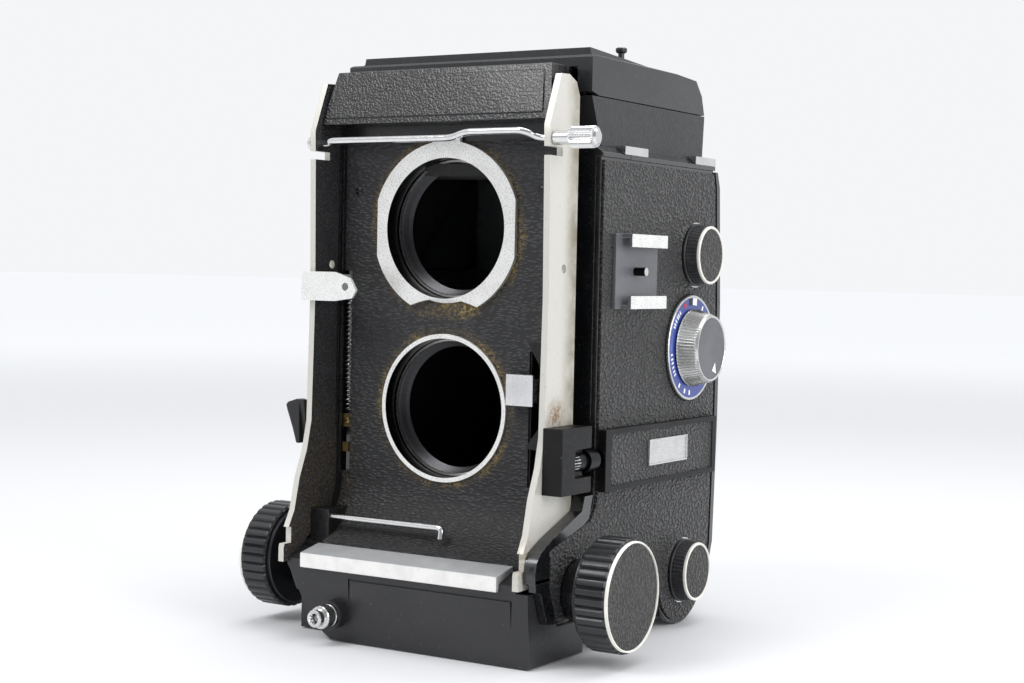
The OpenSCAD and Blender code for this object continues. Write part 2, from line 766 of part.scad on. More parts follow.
module lock_wire() {
    mid_z = wire_z + 0.4;
    front = wire_y - 3;
    hump_z = mid_z + 1.5;
    points = [
        [-plate_in + 3, wire_y, wire_z], [-plate_in + 5, front, mid_z], [10, front, mid_z],
        [14, front, hump_z], [plate_in - 6, front, hump_z], [plate_in - 3, wire_y, wire_z]
    ];
    color([0.85, 0.85, 0.87]) {
        for (i = [0 : len(points) - 2]) stretch(points[i], points[i + 1], wire_r);
        for (i = [1 : len(points) - 2]) translate(points[i]) sphere(r = wire_r + 0.06);
        rod_x(wire_r, plate_in - 3.6, half_w + 8, wire_y, wire_z);
        rod_x(wire_r, -plate_out - 1.2, -plate_in + 3.6, wire_y, wire_z);
        rod_x(wire_r + 1, -plate_out - 1.6, -plate_out - 0.3, wire_y, wire_z);
    }
}

module stretch(a, b, r) {
    d = b - a;
    length = norm(d);
    translate(a) rotate([0, acos(d[2] / length), atan2(d[1], d[0])]) cylinder(r = r, h = length);
}

module lock_knob() {
    color([0.8, 0.8, 0.82]) difference() {
        union() {
            rod_x(2.9, half_w + 0.9, half_w + 9, wire_y, wire_z);
            rod_x(1.9, plate_out + slide_gap, half_w + 1, wire_y, wire_z);
        }
        rod_x(wire_r, 0, half_w + 8, wire_y, wire_z);
    }
}

module cocking_lever() {
    t = 0.9;
    color([0.8, 0.8, 0.82]) {
        // Strap across the front edge of the plate, ending in a tongue
        slab_y(lever_front, lever_front + t) difference() {
            polygon([
                [-plate_out - 1.5, lever_z - 4.1], [-29, lever_z - 4.1], [-23, lever_z - 3.2],
                [-21.6, lever_z - 0.9], [-23.6, lever_z + 2.4], [-29, lever_z + 4.1],
                [-plate_out - 1.5, lever_z + 4.1]
            ]);
            translate([-25.5, lever_z]) circle(r = 1.1);
        }
        // Ear outside the plate and leg through the panel slot
        block(-plate_out - 1.5, -plate_out - 0.5, lever_front, lever_front + 7,
              lever_z - 4.1, lever_z + 4.1);
        block(slot_x - 1.3, slot_x + 1.3, lever_front + t - eps, board_back - 0.4,
              lever_z - 3, lever_z + 3.4);
    }
}

module cocking_spring() {
    color([0.7, 0.7, 0.72]) translate([slot_x, board_y + 1.5, taking_z - 3]) difference() {
        cylinder(r = 1.2, h = lever_z - 3.3 - taking_z + 3);
        translate([0, 0, -1]) cylinder(r = 0.8, h = 60);
    }
}

module release_tab() {
    z0 = taking_z + 2.3;
    color([0.8, 0.82, 0.84]) {
        block(tab_x - 1.3, tab_x + 1.3, panel_y - 3, board_back - 0.4, z0 + 1, z0 + 7.5);
        block(tab_x - 7.2, tab_x + 1.3, panel_y - 3.8, panel_y - 2.9, z0, z0 + 8.5);
        block(tab_x - 7.2, tab_x - 6.3, panel_y - 3.8, panel_y - 1.4, z0, z0 + 8.5);
    }
}

module interlock_wire() {
    y = panel_y - 9.5;
    z = taking_z - 32;
    color([0.85, 0.85, 0.87]) {
        rod_x(wire_r, -plate_in + 2.4, 6.6, y, z);
        translate([6.6, y, z]) sphere(r = wire_r + 0.05);
        stretch([6.6, y, z], [6.6, y - 0.6, z - 3], wire_r);
        translate([6.6, y - 0.6, z - 3]) sphere(r = wire_r + 0.05);
    }
}

module scale_bar() {
    color([0.8, 0.8, 0.82]) {
        rod_y(bar_r, panel_y - 10.6, rim_y - 6, bar_x, bar_z);
        rod_y(3.3, rim_y - 6, rim_y - 0.8, bar_x, bar_z);
        translate([bar_x, rim_y - 0.9, bar_z]) rotate([-90, 0, 0])
            cylinder(r = bar_r, h = 40, $fn = 6);
    }
}

// ---------- focusing drive ----------
module pinion_profile() {
    root = pinion_r - dedendum;
    tip = pinion_r + addendum;
    step = 360 / pinion_teeth;
    wide = 0.24 * step;
    narrow = 0.08 * step;
    polygon([for (i = [0 : pinion_teeth - 1]) let (a = -90 + i * step) each [
        [root * cos(a - wide), root * sin(a - wide)], [tip * cos(a - narrow), tip * sin(a - narrow)],
        [tip * cos(a + narrow), tip * sin(a + narrow)], [root * cos(a + wide), root * sin(a + wide)]
    ]]);
}

module focus_shaft() {
    color([0.7, 0.7, 0.72]) {
        rod_x(shaft_r, -knob_x - knob_len + 2, knob_x + knob_len - 2, shaft_y, shaft_z);
        for (x = [-rack_x, rack_x]) translate([0, shaft_y, shaft_z])
            slab_x(x - rack_half + 0.2, x + rack_half - 0.2) pinion_profile();
    }
}

module focus_knobs() {
    color([0.08, 0.08, 0.09]) mirrored() difference() {
        union() {
            rod_x(knob_r, knob_x + 1, knob_x + knob_len - 0.6, shaft_y, shaft_z);
            rod_x(knob_r - 1.4, knob_x, knob_x + 1, shaft_y, shaft_z);
        }
        rod_x(shaft_r, 0, knob_x + knob_len - 2, shaft_y, shaft_z);
    }
}

module knob_faces() {
    color([0.2, 0.2, 0.2]) mirrored()
        rod_x(knob_r - 0.6, knob_x + knob_len - 0.6, knob_x + knob_len, shaft_y, shaft_z);
}

// ---------- side controls ----------
module spool_knob(y, z) {
    color([0.1, 0.1, 0.11]) {
        rod_x(9.3, half_w + slide_gap, half_w + 1.2, y, z);
        cone_x(9, 8.5, half_w + 1.2, half_w + 5.5, y, z);
        rod_x(spool_shaft_r, chamber_half - 4, half_w + 1, y, z);
    }
}

module spool_knob_upper() {
    spool_knob(upper_spool_y, upper_spool_z);
}

module spool_knob_lower() {
    spool_knob(lower_spool_y, lower_spool_z);
}

module selector_knob() {
    color([0.8, 0.8, 0.82]) {
        cone_x(11.4, 9.9, half_w + 1.3, half_w + 6.9, selector_y, selector_z);
        rod_x(9.7, half_w + 6.9 - eps, half_w + 7.5, selector_y, selector_z);
        rod_x(3, well_half + 1.6, half_w + 1.4, selector_y, selector_z);
    }
}

module light_baffle() {
    y = well_y + 1.6;
    z = tunnel_high - 1.6;
    color([0.1, 0.1, 0.1]) {
        block(-window_half - 1.4, window_half + 1.4, y, film_y - 6, z - 0.4, z + 0.4);
        rod_x(1, -window_half - 3.4, window_half + 3.4, y, z);
    }
}

module crank_hub() {
    pin_x = half_w + 5.3;
    pin_y = upper_spool_y - 7;
    color([0.1, 0.1, 0.11]) mirror([1, 0, 0]) {
        rod_x(11, half_w + slide_gap, half_w + 4, upper_spool_y, upper_spool_z);
        rod_x(5, half_w + 4 - eps, half_w + 6.4, upper_spool_y, upper_spool_z);
        rod_x(spool_shaft_r, chamber_half - 4, half_w + 1, upper_spool_y, upper_spool_z);
        // Lugs and pin of the folding arm
        for (z = [-5.6, 4.3])
            block(half_w + 4 - eps, half_w + 6.3, pin_y - 1.2, pin_y + 2.2,
                  upper_spool_z + z, upper_spool_z + z + 1.3);
        translate([pin_x, pin_y, upper_spool_z - 5]) cylinder(r = 0.5, h = 10);
    }
}

module crank_arm() {
    pin_x = half_w + 5.3;
    pin_y = upper_spool_y - 7;
    color([0.75, 0.75, 0.77]) mirror([1, 0, 0]) {
        difference() {
            union() {
                block(half_w + 4.3, half_w + 6.3, upper_spool_y - 33, pin_y,
                      upper_spool_z - 4, upper_spool_z + 4);
                translate([pin_x, pin_y, upper_spool_z - 4]) cylinder(r = 0.98, h = 8);
            }
            translate([pin_x, pin_y, upper_spool_z - 10]) cylinder(r = 0.5 + run_gap, h = 20);
        }
        rod_x(4, half_w + 6.3 - eps, half_w + 14, upper_spool_y - 29, upper_spool_z);
    }
}

module takeup_spool() {
    color([0.2, 0.2, 0.22]) difference() {
        union() {
            rod_x(5, -31.5, 31.5, upper_spool_y, upper_spool_z);
            for (x = [-31.5, 30.3]) rod_x(12.3, x, x + 1.2, upper_spool_y, upper_spool_z);
        }
        rod_x(spool_shaft_r + 0.1, -cut, cut, upper_spool_y, upper_spool_z);
    }
}

module side_release() {
    y = rim_y + 12;
    z = taking_z - 6;
    color([0.08, 0.08, 0.09]) mirror([1, 0, 0]) {
        rod_x(2, cover_in + 0.3, half_w + 2, y, z);
        slab_x(half_w + slide_gap, half_w + 2.3) polygon([
            [y - 4, z - 4], [y + 4, z - 4], [y + 5, z + 3], [y - 6, z + 5],
            [panel_y - 7, z + 6.4], [panel_y - 5, z - 6.4]
        ]);
        slab_x(half_w + 2.2, half_w + 7) polygon([
            [panel_y - 7, z + 6.4], [panel_y - 5, z - 6.4], [panel_y - 3.2, z - 6], [panel_y - 5, z + 6]
        ]);
    }
}

// ---------- back ----------
module back_door() {
    skin = 2.1;
    color([0.1, 0.1, 0.11]) {
        difference() {
            union() {
                // Skin that forms the back of the camera
                slab_x(-half_w, half_w) polygon(concat(back_outline, [
                    [film_y + 1.4, 12.6], [back_y - 1.6 - skin, 22.4], [back_y - 0.2 - skin, 59],
                    [back_y - 0.1 - skin, deck_z - 40], [back_y - 2.3 - skin, deck_z - 5],
                    [back_y - 5.7, deck_z - 0.4], [back_y - 4, deck_z - 0.4]
                ]));
                // Rim that closes round the film chamber
                mirrored() slab_x(cover_in - 2.2, cover_in - slide_gap) polygon([
                    [film_y + slide_gap, 24], [back_y - 3.4, 22.4], [back_y - 2, 59],
                    [back_y - 2, deck_z - 40], [back_y - 4, deck_z - 5], [film_y + slide_gap, deck_z - 5]
                ]);
            }
            block(-6.2, 6.2, 0, cut * 2, deck_z - 18.2, deck_z - 11.8);
        }
        // Hinge barrel
        difference() {
            union() {
                rod_x(2.3, -chamber_half + 4.4, chamber_half - 4.4, film_y + 1.1, 7);
                slab_x(-chamber_half + 4.4, chamber_half - 4.4) polygon([
                    [film_y + 1.1, 8.5], [film_y + 2.9, 8.5], [film_y + 3.6, 13.5], [film_y + 1.4, 13.5]
                ]);
            }
            rod_x(1.2 + run_gap, -cut, cut, film_y + 1.1, 7);
        }
        // Posts that carry the pressure plate
        for (z = [taking_z - 20, taking_z + 20])
            rod_y(1.4, film_y + 2.1, back_y - 2, 0, z);
    }
}

module pressure_plate() {
    color([0.15, 0.15, 0.16]) difference() {
        block(-window_half - 5, window_half + 5, film_y + 0.5, film_y + 1.8,
              taking_z - 32, taking_z + 32);
        for (z = [taking_z - 20, taking_z + 20])
            rod_y(1.5, film_y + 1, film_y + 3, 0, z);
    }
}

module door_latch() {
    z = deck_z - 15;
    color([0.6, 0.6, 0.62]) {
        block(-3, 3, back_y - 5, back_y + 0.1, z - 2.6, z + 2.6);
        block(-9, 9, back_y - 6.4, back_y - 4.9, z - 2.6, z + 2.6);
    }
}

// ---------- folding hood ----------
module hood_lid() {
    z0 = hood_seam_z + slide_gap;
    t = 1.5;
    color([0.2, 0.2, 0.21]) difference() {
        union() {
            difference() {
                slab_x(-hood_half, hood_half) polygon([
                    [hood_front + 4, z0], [hood_front, z0 + 0.9], [hood_front, lid_top - 3],
                    [hood_front + 0.6, lid_top - 2.4],
                    [hood_front + 3.7, lid_top - 2.4], [hood_front + 3.8, lid_top],
                    [hood_back - 5, lid_top - 3.4], [hood_back - 1, lid_top - 7.6],
                    [hood_back + 0.9, z0]
                ]);
                // Sloping sides of the raised top
                mirrored() slab_y(rim_y - 20, back_y + 20) polygon([
                    [hood_half + 1, lid_top - 3], [hood_half - 0.8, lid_top - 2.4],
                    [hood_half - 2.6, lid_top - 1.8], [hood_half - 3.2, lid_top + 1],
                    [hood_half + 1, lid_top + 1]
                ]);
                // Inside
                slab_x(-hood_half + hood_t, hood_half - hood_t) polygon([
                    [hood_front + t, z0 - 1], [hood_front + t, lid_top - 3.2],
                    [hood_back - 6.4, lid_top - 5.2], [hood_back - 2.6, lid_top - 8.6],
                    [hood_back - 1, z0 - 1]
                ]);
                // Slots in the front wall that pass the hinge uprights
                mirrored() block(lid_lug_x - 0.4, lid_lug_x + lid_lug_t + 0.4, hood_front - 1,
                                 lid_hinge_y - 1, z0 - 1, lid_hinge_z - 0.6);
            }
            // Hinge barrel under the top
            slab_x(-lid_lug_x + 0.4, lid_lug_x - 0.4) union() {
                translate([lid_hinge_y, lid_hinge_z]) circle(r = 1.9);
                translate([lid_hinge_y - 1.4, lid_hinge_z]) square([2.8, 1.8]);
            }
            // Ears that carry the magnifier
            mirrored() block(17.4, 19, hood_front + 18, hood_front + 24,
                             lid_top - 9.4, lid_top - 4.5);
        }
        rod_x(0.9 + run_gap, -lid_lug_x, lid_lug_x, lid_hinge_y, lid_hinge_z);
        rod_x(0.8 + run_gap, -20, 20, hood_front + 22, lid_top - 7.6);
        translate([32, 2, lid_top - 6]) cylinder(r = 0.9 + run_gap, h = 20);
    }
}

module wall_knuckle(length) {
    // Hinge barrel of one folding wall, along Y from the origin
    rotate([-90, 0, 0]) cylinder(r = 0.9, h = length);
}

module side_wall() {
    y0 = rim_y + 9;
    y1 = hood_back - 4.6;
    x0 = hood_half - hood_t - 1.3;
    color([0.12, 0.12, 0.13]) {
        translate([x0, y0, wall_hinge_z]) wall_knuckle(y1 - y0);
        translate([0, 0, wall_hinge_z - wall_t / 2]) linear_extrude(wall_t) polygon([
            [x0, y0], [x0 - hood_wall_h, y0 + 10], [x0 - hood_wall_h, y1 - hood_wall_h],
            [x0, y1]
        ]);
    }
}

module hood_wall_right() {
    side_wall();
}

module hood_wall_left() {
    mirror([1, 0, 0]) side_wall();
}

module hood_wall_rear() {
    y0 = hood_back - hood_t - 1.3;
    half = hood_half - 7.4;
    color([0.12, 0.12, 0.13]) {
        rod_x(0.9, -half, half, y0, wall_hinge_z);
        translate([0, 0, wall_hinge_z - wall_t / 2]) linear_extrude(wall_t) polygon([
            [-half, y0], [half, y0], [half - hood_wall_h, y0 - hood_wall_h],
            [hood_wall_h - half, y0 - hood_wall_h]
        ]);
    }
}

module magnifier() {
    y = hood_front + 22;
    z = lid_top - 7.6;
    color([0.3, 0.3, 0.32]) {
        difference() {
            union() {
                translate([0, y + 19, z - 0.8]) cylinder(r = 15, h = 1.6);
                block(-14, 14, y, y + 12, z - 0.8, z + 0.8);
                rod_x(0.8, -18.8, 18.8, y, z);
            }
            translate([0, y + 19, z - 2]) cylinder(r = 13, h = 4);
        }
        translate([0, y + 19, z - 0.6]) cylinder(r = 13, h = 1.2);
    }
}

module hood_button() {
    color([0.1, 0.1, 0.1]) translate([32, 2, 0]) {
        translate([0, 0, lid_top + 1.9]) cylinder(r = 1.6, h = 1.4);
        translate([0, 0, lid_top - 5.6]) cylinder(r = 0.9, h = 8);
    }
}

// ---------- assembly ----------
body_shell();
front_box();
side_cover_right();
side_cover_left();
leather_right();
leather_left();
bottom_plate();
tripod_bush();
viewing_mirror();
focusing_screen();
accessory_shoe();
scale_housing();
scale_label();
selector_dial();
strap_lugs();
hood_frame();
counter_window();
shaft_bushes();
body_screws();
bellows();
lens_panel();
panel_leather();
viewing_ring();
taking_ring();
side_plate_right();
side_plate_left();
name_cap();
sill();
base_tray();
racks();
scale_block();
panel_screws();
release_button();
lock_wire();
lock_knob();
cocking_lever();
cocking_spring();
release_tab();
interlock_wire();
scale_bar();
focus_shaft();
focus_knobs();
knob_faces();
spool_knob_upper();
spool_knob_lower();
selector_knob();
light_baffle();
crank_hub();
crank_arm();
takeup_spool();
back_door();
pressure_plate();
door_latch();
hood_lid();
hood_wall_right();
hood_wall_left();
hood_wall_rear();
magnifier();
hood_button();
side_release();
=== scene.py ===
"""Looks of a twin lens reflex camera body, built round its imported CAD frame.

Every sub-assembly is a class whose fields hold its sizes in millimetres. It
carries its CAD parts over with softened edges, adds the fine pieces that the
frame leaves out, and dresses all of them in procedural finishes.
"""

import json
import logging
import math
from dataclasses import dataclass
from enum import Enum
from typing import Callable, Optional, Sequence

import bmesh
import bpy
from mathutils import Matrix, Vector

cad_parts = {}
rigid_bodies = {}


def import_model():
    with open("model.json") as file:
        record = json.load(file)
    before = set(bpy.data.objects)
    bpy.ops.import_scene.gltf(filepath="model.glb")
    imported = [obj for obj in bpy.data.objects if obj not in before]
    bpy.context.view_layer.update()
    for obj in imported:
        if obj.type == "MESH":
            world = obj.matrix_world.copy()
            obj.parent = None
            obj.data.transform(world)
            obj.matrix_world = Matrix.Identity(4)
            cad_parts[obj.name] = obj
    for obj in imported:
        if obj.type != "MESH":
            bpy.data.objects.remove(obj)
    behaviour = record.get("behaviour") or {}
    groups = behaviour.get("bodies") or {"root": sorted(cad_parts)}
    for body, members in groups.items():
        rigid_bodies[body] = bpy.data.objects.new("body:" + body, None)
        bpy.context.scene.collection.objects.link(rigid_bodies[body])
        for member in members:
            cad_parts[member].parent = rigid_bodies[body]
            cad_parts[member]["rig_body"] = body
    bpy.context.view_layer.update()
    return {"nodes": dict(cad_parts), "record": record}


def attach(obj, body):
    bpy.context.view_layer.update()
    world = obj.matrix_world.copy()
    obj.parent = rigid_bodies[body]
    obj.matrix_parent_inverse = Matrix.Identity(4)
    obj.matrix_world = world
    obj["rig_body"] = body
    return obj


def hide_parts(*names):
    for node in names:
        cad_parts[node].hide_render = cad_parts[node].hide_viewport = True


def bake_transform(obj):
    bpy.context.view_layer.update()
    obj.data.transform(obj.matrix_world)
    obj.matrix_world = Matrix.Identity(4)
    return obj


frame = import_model()

logging.basicConfig(level=logging.INFO, format="%(message)s")
log = logging.getLogger("camera")

MM = 0.001
Colour = tuple[float, float, float, float]
Point = tuple[float, float, float]
Socket = bpy.types.NodeSocket
Node = bpy.types.Node
Tree = bpy.types.ShaderNodeTree

# Places shared by several sub-assemblies, in millimetres
TAKING_Z = 65.0
VIEWING_Z = 115.0
PANEL_Y = -38.0
RIM_Y = -28.0
HALF_W = 43.5
PLATE_OUT = 39.4
PLATE_IN = 37.55


class Axis(Enum):
    """Direction of the record's frame that a piece's own axis points in."""

    RIGHT = "+X"
    LEFT = "-X"
    FRONT = "-Y"
    BACK = "+Y"
    UP = "+Z"
    DOWN = "-Z"


TURNS = {
    Axis.RIGHT: Matrix.Rotation(math.pi / 2, 3, "Y"),
    Axis.LEFT: Matrix.Rotation(-math.pi / 2, 3, "Y"),
    Axis.FRONT: Matrix.Rotation(math.pi / 2, 3, "X"),
    Axis.BACK: Matrix.Rotation(-math.pi / 2, 3, "X"),
    Axis.UP: Matrix.Identity(3),
    Axis.DOWN: Matrix.Rotation(math.pi, 3, "X"),
}


# ---------------------------------------------------------------- materials
def linear(hex_colour: str, alpha: float = 1.0) -> Colour:
    """Turns an sRGB hex colour into a linear one.

    Args:
        hex_colour: Six hex digits with a leading hash.
        alpha: Alpha to append.

    Returns:
        Linear red, green, blue and alpha.
    """
    parts = [int(hex_colour[i : i + 2], 16) / 255 for i in (1, 3, 5)]
    low = [c / 12.92 if c <= 0.04045 else ((c + 0.055) / 1.055) ** 2.4 for c in parts]
    return (low[0], low[1], low[2], alpha)


def add(tree: Tree, kind: str, inputs: Optional[dict] = None, **settings: object) -> Node:
    """Adds a shader node with its settings, values and links.

    Args:
        tree: Node tree to add to.
        kind: Node type, without the leading "ShaderNode".
        inputs: Input name or index to a socket to link or a value to set.
        **settings: Attributes of the node itself.

    Returns:
        The new node.
    """
    node = tree.nodes.new("ShaderNode" + kind)
    for name, value in settings.items():
        setattr(node, name, value)
    for key, value in (inputs or {}).items():
        socket = node.inputs[key]
        if isinstance(value, bpy.types.NodeSocket):
            tree.links.new(value, socket)
        else:
            socket.default_value = value
    return node


def per_metre(size_mm: float) -> float:
    """Texture scale that gives cells of the stated size in millimetres."""
    return 1000.0 / size_mm


def span(tree: Tree, value: Socket, lo: float, hi: float, out_lo: float, out_hi: float) -> Socket:
    """Maps a value from one clamped range to another, smoothly.

    Args:
        tree: Node tree to add to.
        value: Socket with the value.
        lo: Start of the incoming range.
        hi: End of the incoming range.
        out_lo: Result at the start.
        out_hi: Result at the end.

    Returns:
        The mapped value's socket.
    """
    node = add(
        tree,
        "MapRange",
        {"Value": value, "From Min": lo, "From Max": hi, "To Min": out_lo, "To Max": out_hi},
        interpolation_type="SMOOTHSTEP",
    )
    return node.outputs["Result"]


def blend_colours(tree: Tree, factor: Socket, a: object, b: object) -> Socket:
    """Mixes two colours, each a socket or a fixed colour, by a factor socket."""
    node = add(tree, "Mix", {"Factor": factor, 6: a, 7: b}, data_type="RGBA")
    return node.outputs[2]


def combine(tree: Tree, operation: str, a: object, b: object) -> Socket:
    """Joins two values, each a socket or a number, by a named maths operation."""
    return add(tree, "Math", {0: a, 1: b}, operation=operation).outputs[0]


def noise(
    tree: Tree, where: Socket, size_mm: float, detail: float = 3.0, rough: float = 0.5
) -> Socket:
    """Adds fractal noise with blobs of about the stated size.

    Args:
        tree: Node tree to add to.
        where: Coordinates in metres.
        size_mm: Size of the largest blobs.
        detail: Number of finer octaves.
        rough: Share that each finer octave keeps.

    Returns:
        The noise value's socket.
    """
    node = add(
        tree,
        "TexNoise",
        {"Vector": where, "Scale": per_metre(size_mm), "Detail": detail, "Roughness": rough},
    )
    return node.outputs["Fac"]


def stretched(tree: Tree, where: Socket, factors: Point) -> Socket:
    """Scales coordinates along each axis, to draw a pattern out along one of them."""
    return add(tree, "Mapping", {"Vector": where, "Scale": factors}, vector_type="POINT").outputs[0]


def bump(tree: Tree, height: Socket, depth_mm: float, under: Optional[Socket] = None) -> Socket:
    """Turns a height from 0 to 1 into a bumped normal.

    Args:
        tree: Node tree to add to.
        height: Height socket.
        depth_mm: Real depth of the relief.
        under: Normal to build on.

    Returns:
        The bumped normal's socket.
    """
    inputs = {"Height": height, "Strength": 1.0, "Distance": depth_mm * MM}
    if under is not None:
        inputs["Normal"] = under
    return add(tree, "Bump", inputs).outputs["Normal"]


@dataclass(frozen=True)
class Finish:
    """A named surface finish, built once and shared by every piece that wears it."""

    name: str

    def material(self) -> bpy.types.Material:
        """Builds the finish's material at its first use.

        Returns:
            The material, shared by every piece in this finish.
        """
        known = bpy.data.materials.get(self.name)
        if known is not None:
            return known
        made = bpy.data.materials.new(self.name)
        made.use_nodes = True
        tree = made.node_tree
        tree.nodes.clear()
        shader = add(tree, "BsdfPrincipled")
        out = add(tree, "OutputMaterial")
        tree.links.new(shader.outputs["BSDF"], out.inputs["Surface"])
        where = add(tree, "TexCoord").outputs["Object"]
        self.dress(tree, shader, where)
        return made

    def dress(self, tree: Tree, shader: Node, where: Socket) -> None:
        """Adds the finish's own nodes.

        Args:
            tree: Node tree of the material.
            shader: Principled shader to feed.
            where: Object coordinates in metres.
        """
        raise NotImplementedError


def feed(tree: Tree, shader: Node, **values: object) -> None:
    """Sets or links shader inputs, named in lower case with underscores.

    Args:
        tree: Node tree of the material.
        shader: Principled shader to feed.
        **values: Input name to a socket or a constant.
    """
    names = {s.name.lower().replace(" ", "_"): s for s in shader.inputs}
    for key, value in values.items():
        if isinstance(value, bpy.types.NodeSocket):
            tree.links.new(value, names[key])
        else:
            names[key].default_value = value


class Relief(Enum):
    """How a painted or moulded surface was left."""

    SMOOTH = "smooth"
    ORANGE_PEEL = "orange peel"
    WRINKLE = "wrinkle"
    SAND = "sand"


@dataclass(frozen=True)
class Paint(Finish):
    """Stoved enamel or moulded plastic: one colour with relief, wear and dust.

    The slow drift of colour and roughness keeps large castings from looking like a flat fill, and
    the paler edges are part rubbed paint showing the grey primer below and part painted highlight
    along every edge.
    """

    colour: str = "#17181a"
    worn: str = "#4a4b4d"
    roughness: float = 0.4
    relief: Relief = Relief.ORANGE_PEEL
    grain_mm: float = 0.7
    depth_mm: float = 0.03
    wear: float = 0.35
    coat: float = 0.0
    ior: float = 1.5
    dust: str = "#9a978f"

    def dress(self, tree: Tree, shader: Node, where: Socket) -> None:
        """Adds colour drift, paler edges that are part wear and part painted highlight, dust and
        the relief of the coating.

        Args:
            tree: Node tree of the material.
            shader: Principled shader to feed.
            where: Object coordinates in metres.
        """
        drift = noise(tree, where, size_mm=22.0, detail=4.0, rough=0.55)
        fine = noise(tree, where, size_mm=1.6, detail=5.0, rough=0.65)
        base = linear(self.colour)
        lighter = tuple(min(1.0, c * 1.35 + 0.002) for c in base[:3]) + (1.0,)
        colour = blend_colours(tree, span(tree, drift, 0.35, 0.7, 0.0, 1.0), base, lighter)
        # Paler colour on every edge: part rubbed paint, part painted highlight that stands in for
        # edge glints
        rounded = add(tree, "Bevel", {"Radius": 0.35 * MM}, samples=4).outputs["Normal"]
        true = add(tree, "NewGeometry").outputs["Normal"]
        facing = add(tree, "VectorMath", {0: rounded, 1: true}, operation="DOT_PRODUCT")
        edge = span(tree, facing.outputs["Value"], 0.985, 0.86, 0.0, 1.0)
        rubbed = combine(tree, "MULTIPLY", edge, span(tree, fine, 0.38, 0.62, 0.15, 1.0))
        rubbed = combine(tree, "MULTIPLY", rubbed, self.wear)
        colour = blend_colours(tree, rubbed, colour, linear(self.worn))
        specks = span(
            tree, noise(tree, where, size_mm=0.9, detail=2.0, rough=0.5), 0.69, 0.76, 0.0, 0.16
        )
        colour = blend_colours(tree, specks, colour, linear(self.dust))
        rough = span(tree, fine, 0.25, 0.8, self.roughness - 0.05, self.roughness + 0.1)
        feed(tree, shader, base_color=colour, roughness=rough, ior=self.ior, coat_weight=self.coat)
        if self.coat > 0:
            feed(tree, shader, coat_roughness=0.12)
        if self.relief is Relief.WRINKLE:
            cells = add(
                tree,
                "TexVoronoi",
                {"Vector": self.wavy(tree, where), "Scale": per_metre(self.grain_mm)},
                feature="SMOOTH_F1",
            ).outputs["Distance"]
            height = span(tree, cells, 0.1, 0.75, 1.0, 0.0)
        elif self.relief is Relief.SAND:
            height = noise(tree, where, size_mm=self.grain_mm, detail=1.0, rough=0.4)
        else:
            height = noise(tree, where, size_mm=self.grain_mm, detail=2.0, rough=0.4)
        feed(tree, shader, normal=bump(tree, height, depth_mm=self.depth_mm))

    def wavy(self, tree: Tree, where: Socket) -> Socket:
        """Pushes coordinates about by noise, so that cells aren't regular.

        Args:
            tree: Node tree of the material.
            where: Object coordinates in metres.

        Returns:
            Socket of the pushed coordinates.
        """
        push = add(tree, "TexNoise", {"Vector": where, "Scale": per_metre(2.0)}).outputs["Color"]
        small = add(tree, "VectorMath", {0: push, "Scale": 0.5 * MM}, operation="SCALE")
        return add(tree, "VectorMath", {0: where, 1: small.outputs[0]}, operation="ADD").outputs[0]


@dataclass(frozen=True)
class Leatherette(Finish):
    """Embossed vinyl: shallow pebbles split by grooves, dull with a faint sheen.

    The grain is drawn out a little along one axis, as on a rolled sheet.
    """

    colour: str = "#1a1a1b"
    light: str = "#434344"
    grain_mm: float = 1.1
    draw: Point = (1.0, 0.8, 1.25)
    depth_mm: float = 0.75
    roughness: float = 0.33

    def dress(self, tree: Tree, shader: Node, where: Socket) -> None:
        """Adds two sizes of pebble, fine pores and paler rubbed crowns.

        Args:
            tree: Node tree of the material.
            shader: Principled shader to feed.
            where: Object coordinates in metres.
        """
        push = add(tree, "TexNoise", {"Vector": where, "Scale": per_metre(1.7)}).outputs["Color"]
        small = add(tree, "VectorMath", {0: push, "Scale": 0.9 * MM}, operation="SCALE")
        bent = add(tree, "VectorMath", {0: where, 1: small.outputs[0]}, operation="ADD").outputs[0]
        long = stretched(tree, bent, self.draw)
        big = add(
            tree,
            "TexVoronoi",
            {"Vector": long, "Scale": per_metre(self.grain_mm), "Smoothness": 0.35},
            feature="SMOOTH_F1",
        ).outputs["Distance"]
        crown = span(tree, big, 0.2, 0.68, 1.0, 0.0)
        pores = noise(tree, where, size_mm=0.28, detail=2.0, rough=0.6)
        height = combine(tree, "ADD", crown, combine(tree, "MULTIPLY", pores, 0.22))
        patch = noise(tree, where, size_mm=14.0, detail=3.0, rough=0.5)
        shade = combine(tree, "MULTIPLY", crown, span(tree, patch, 0.3, 0.75, 0.15, 0.6))
        colour = blend_colours(tree, shade, linear(self.colour), linear(self.light))
        rough = span(tree, crown, 0.0, 1.0, self.roughness + 0.16, self.roughness - 0.04)
        feed(
            tree,
            shader,
            base_color=colour,
            roughness=rough,
            ior=1.48,
            sheen_weight=0.08,
            normal=bump(tree, height, depth_mm=self.depth_mm),
        )


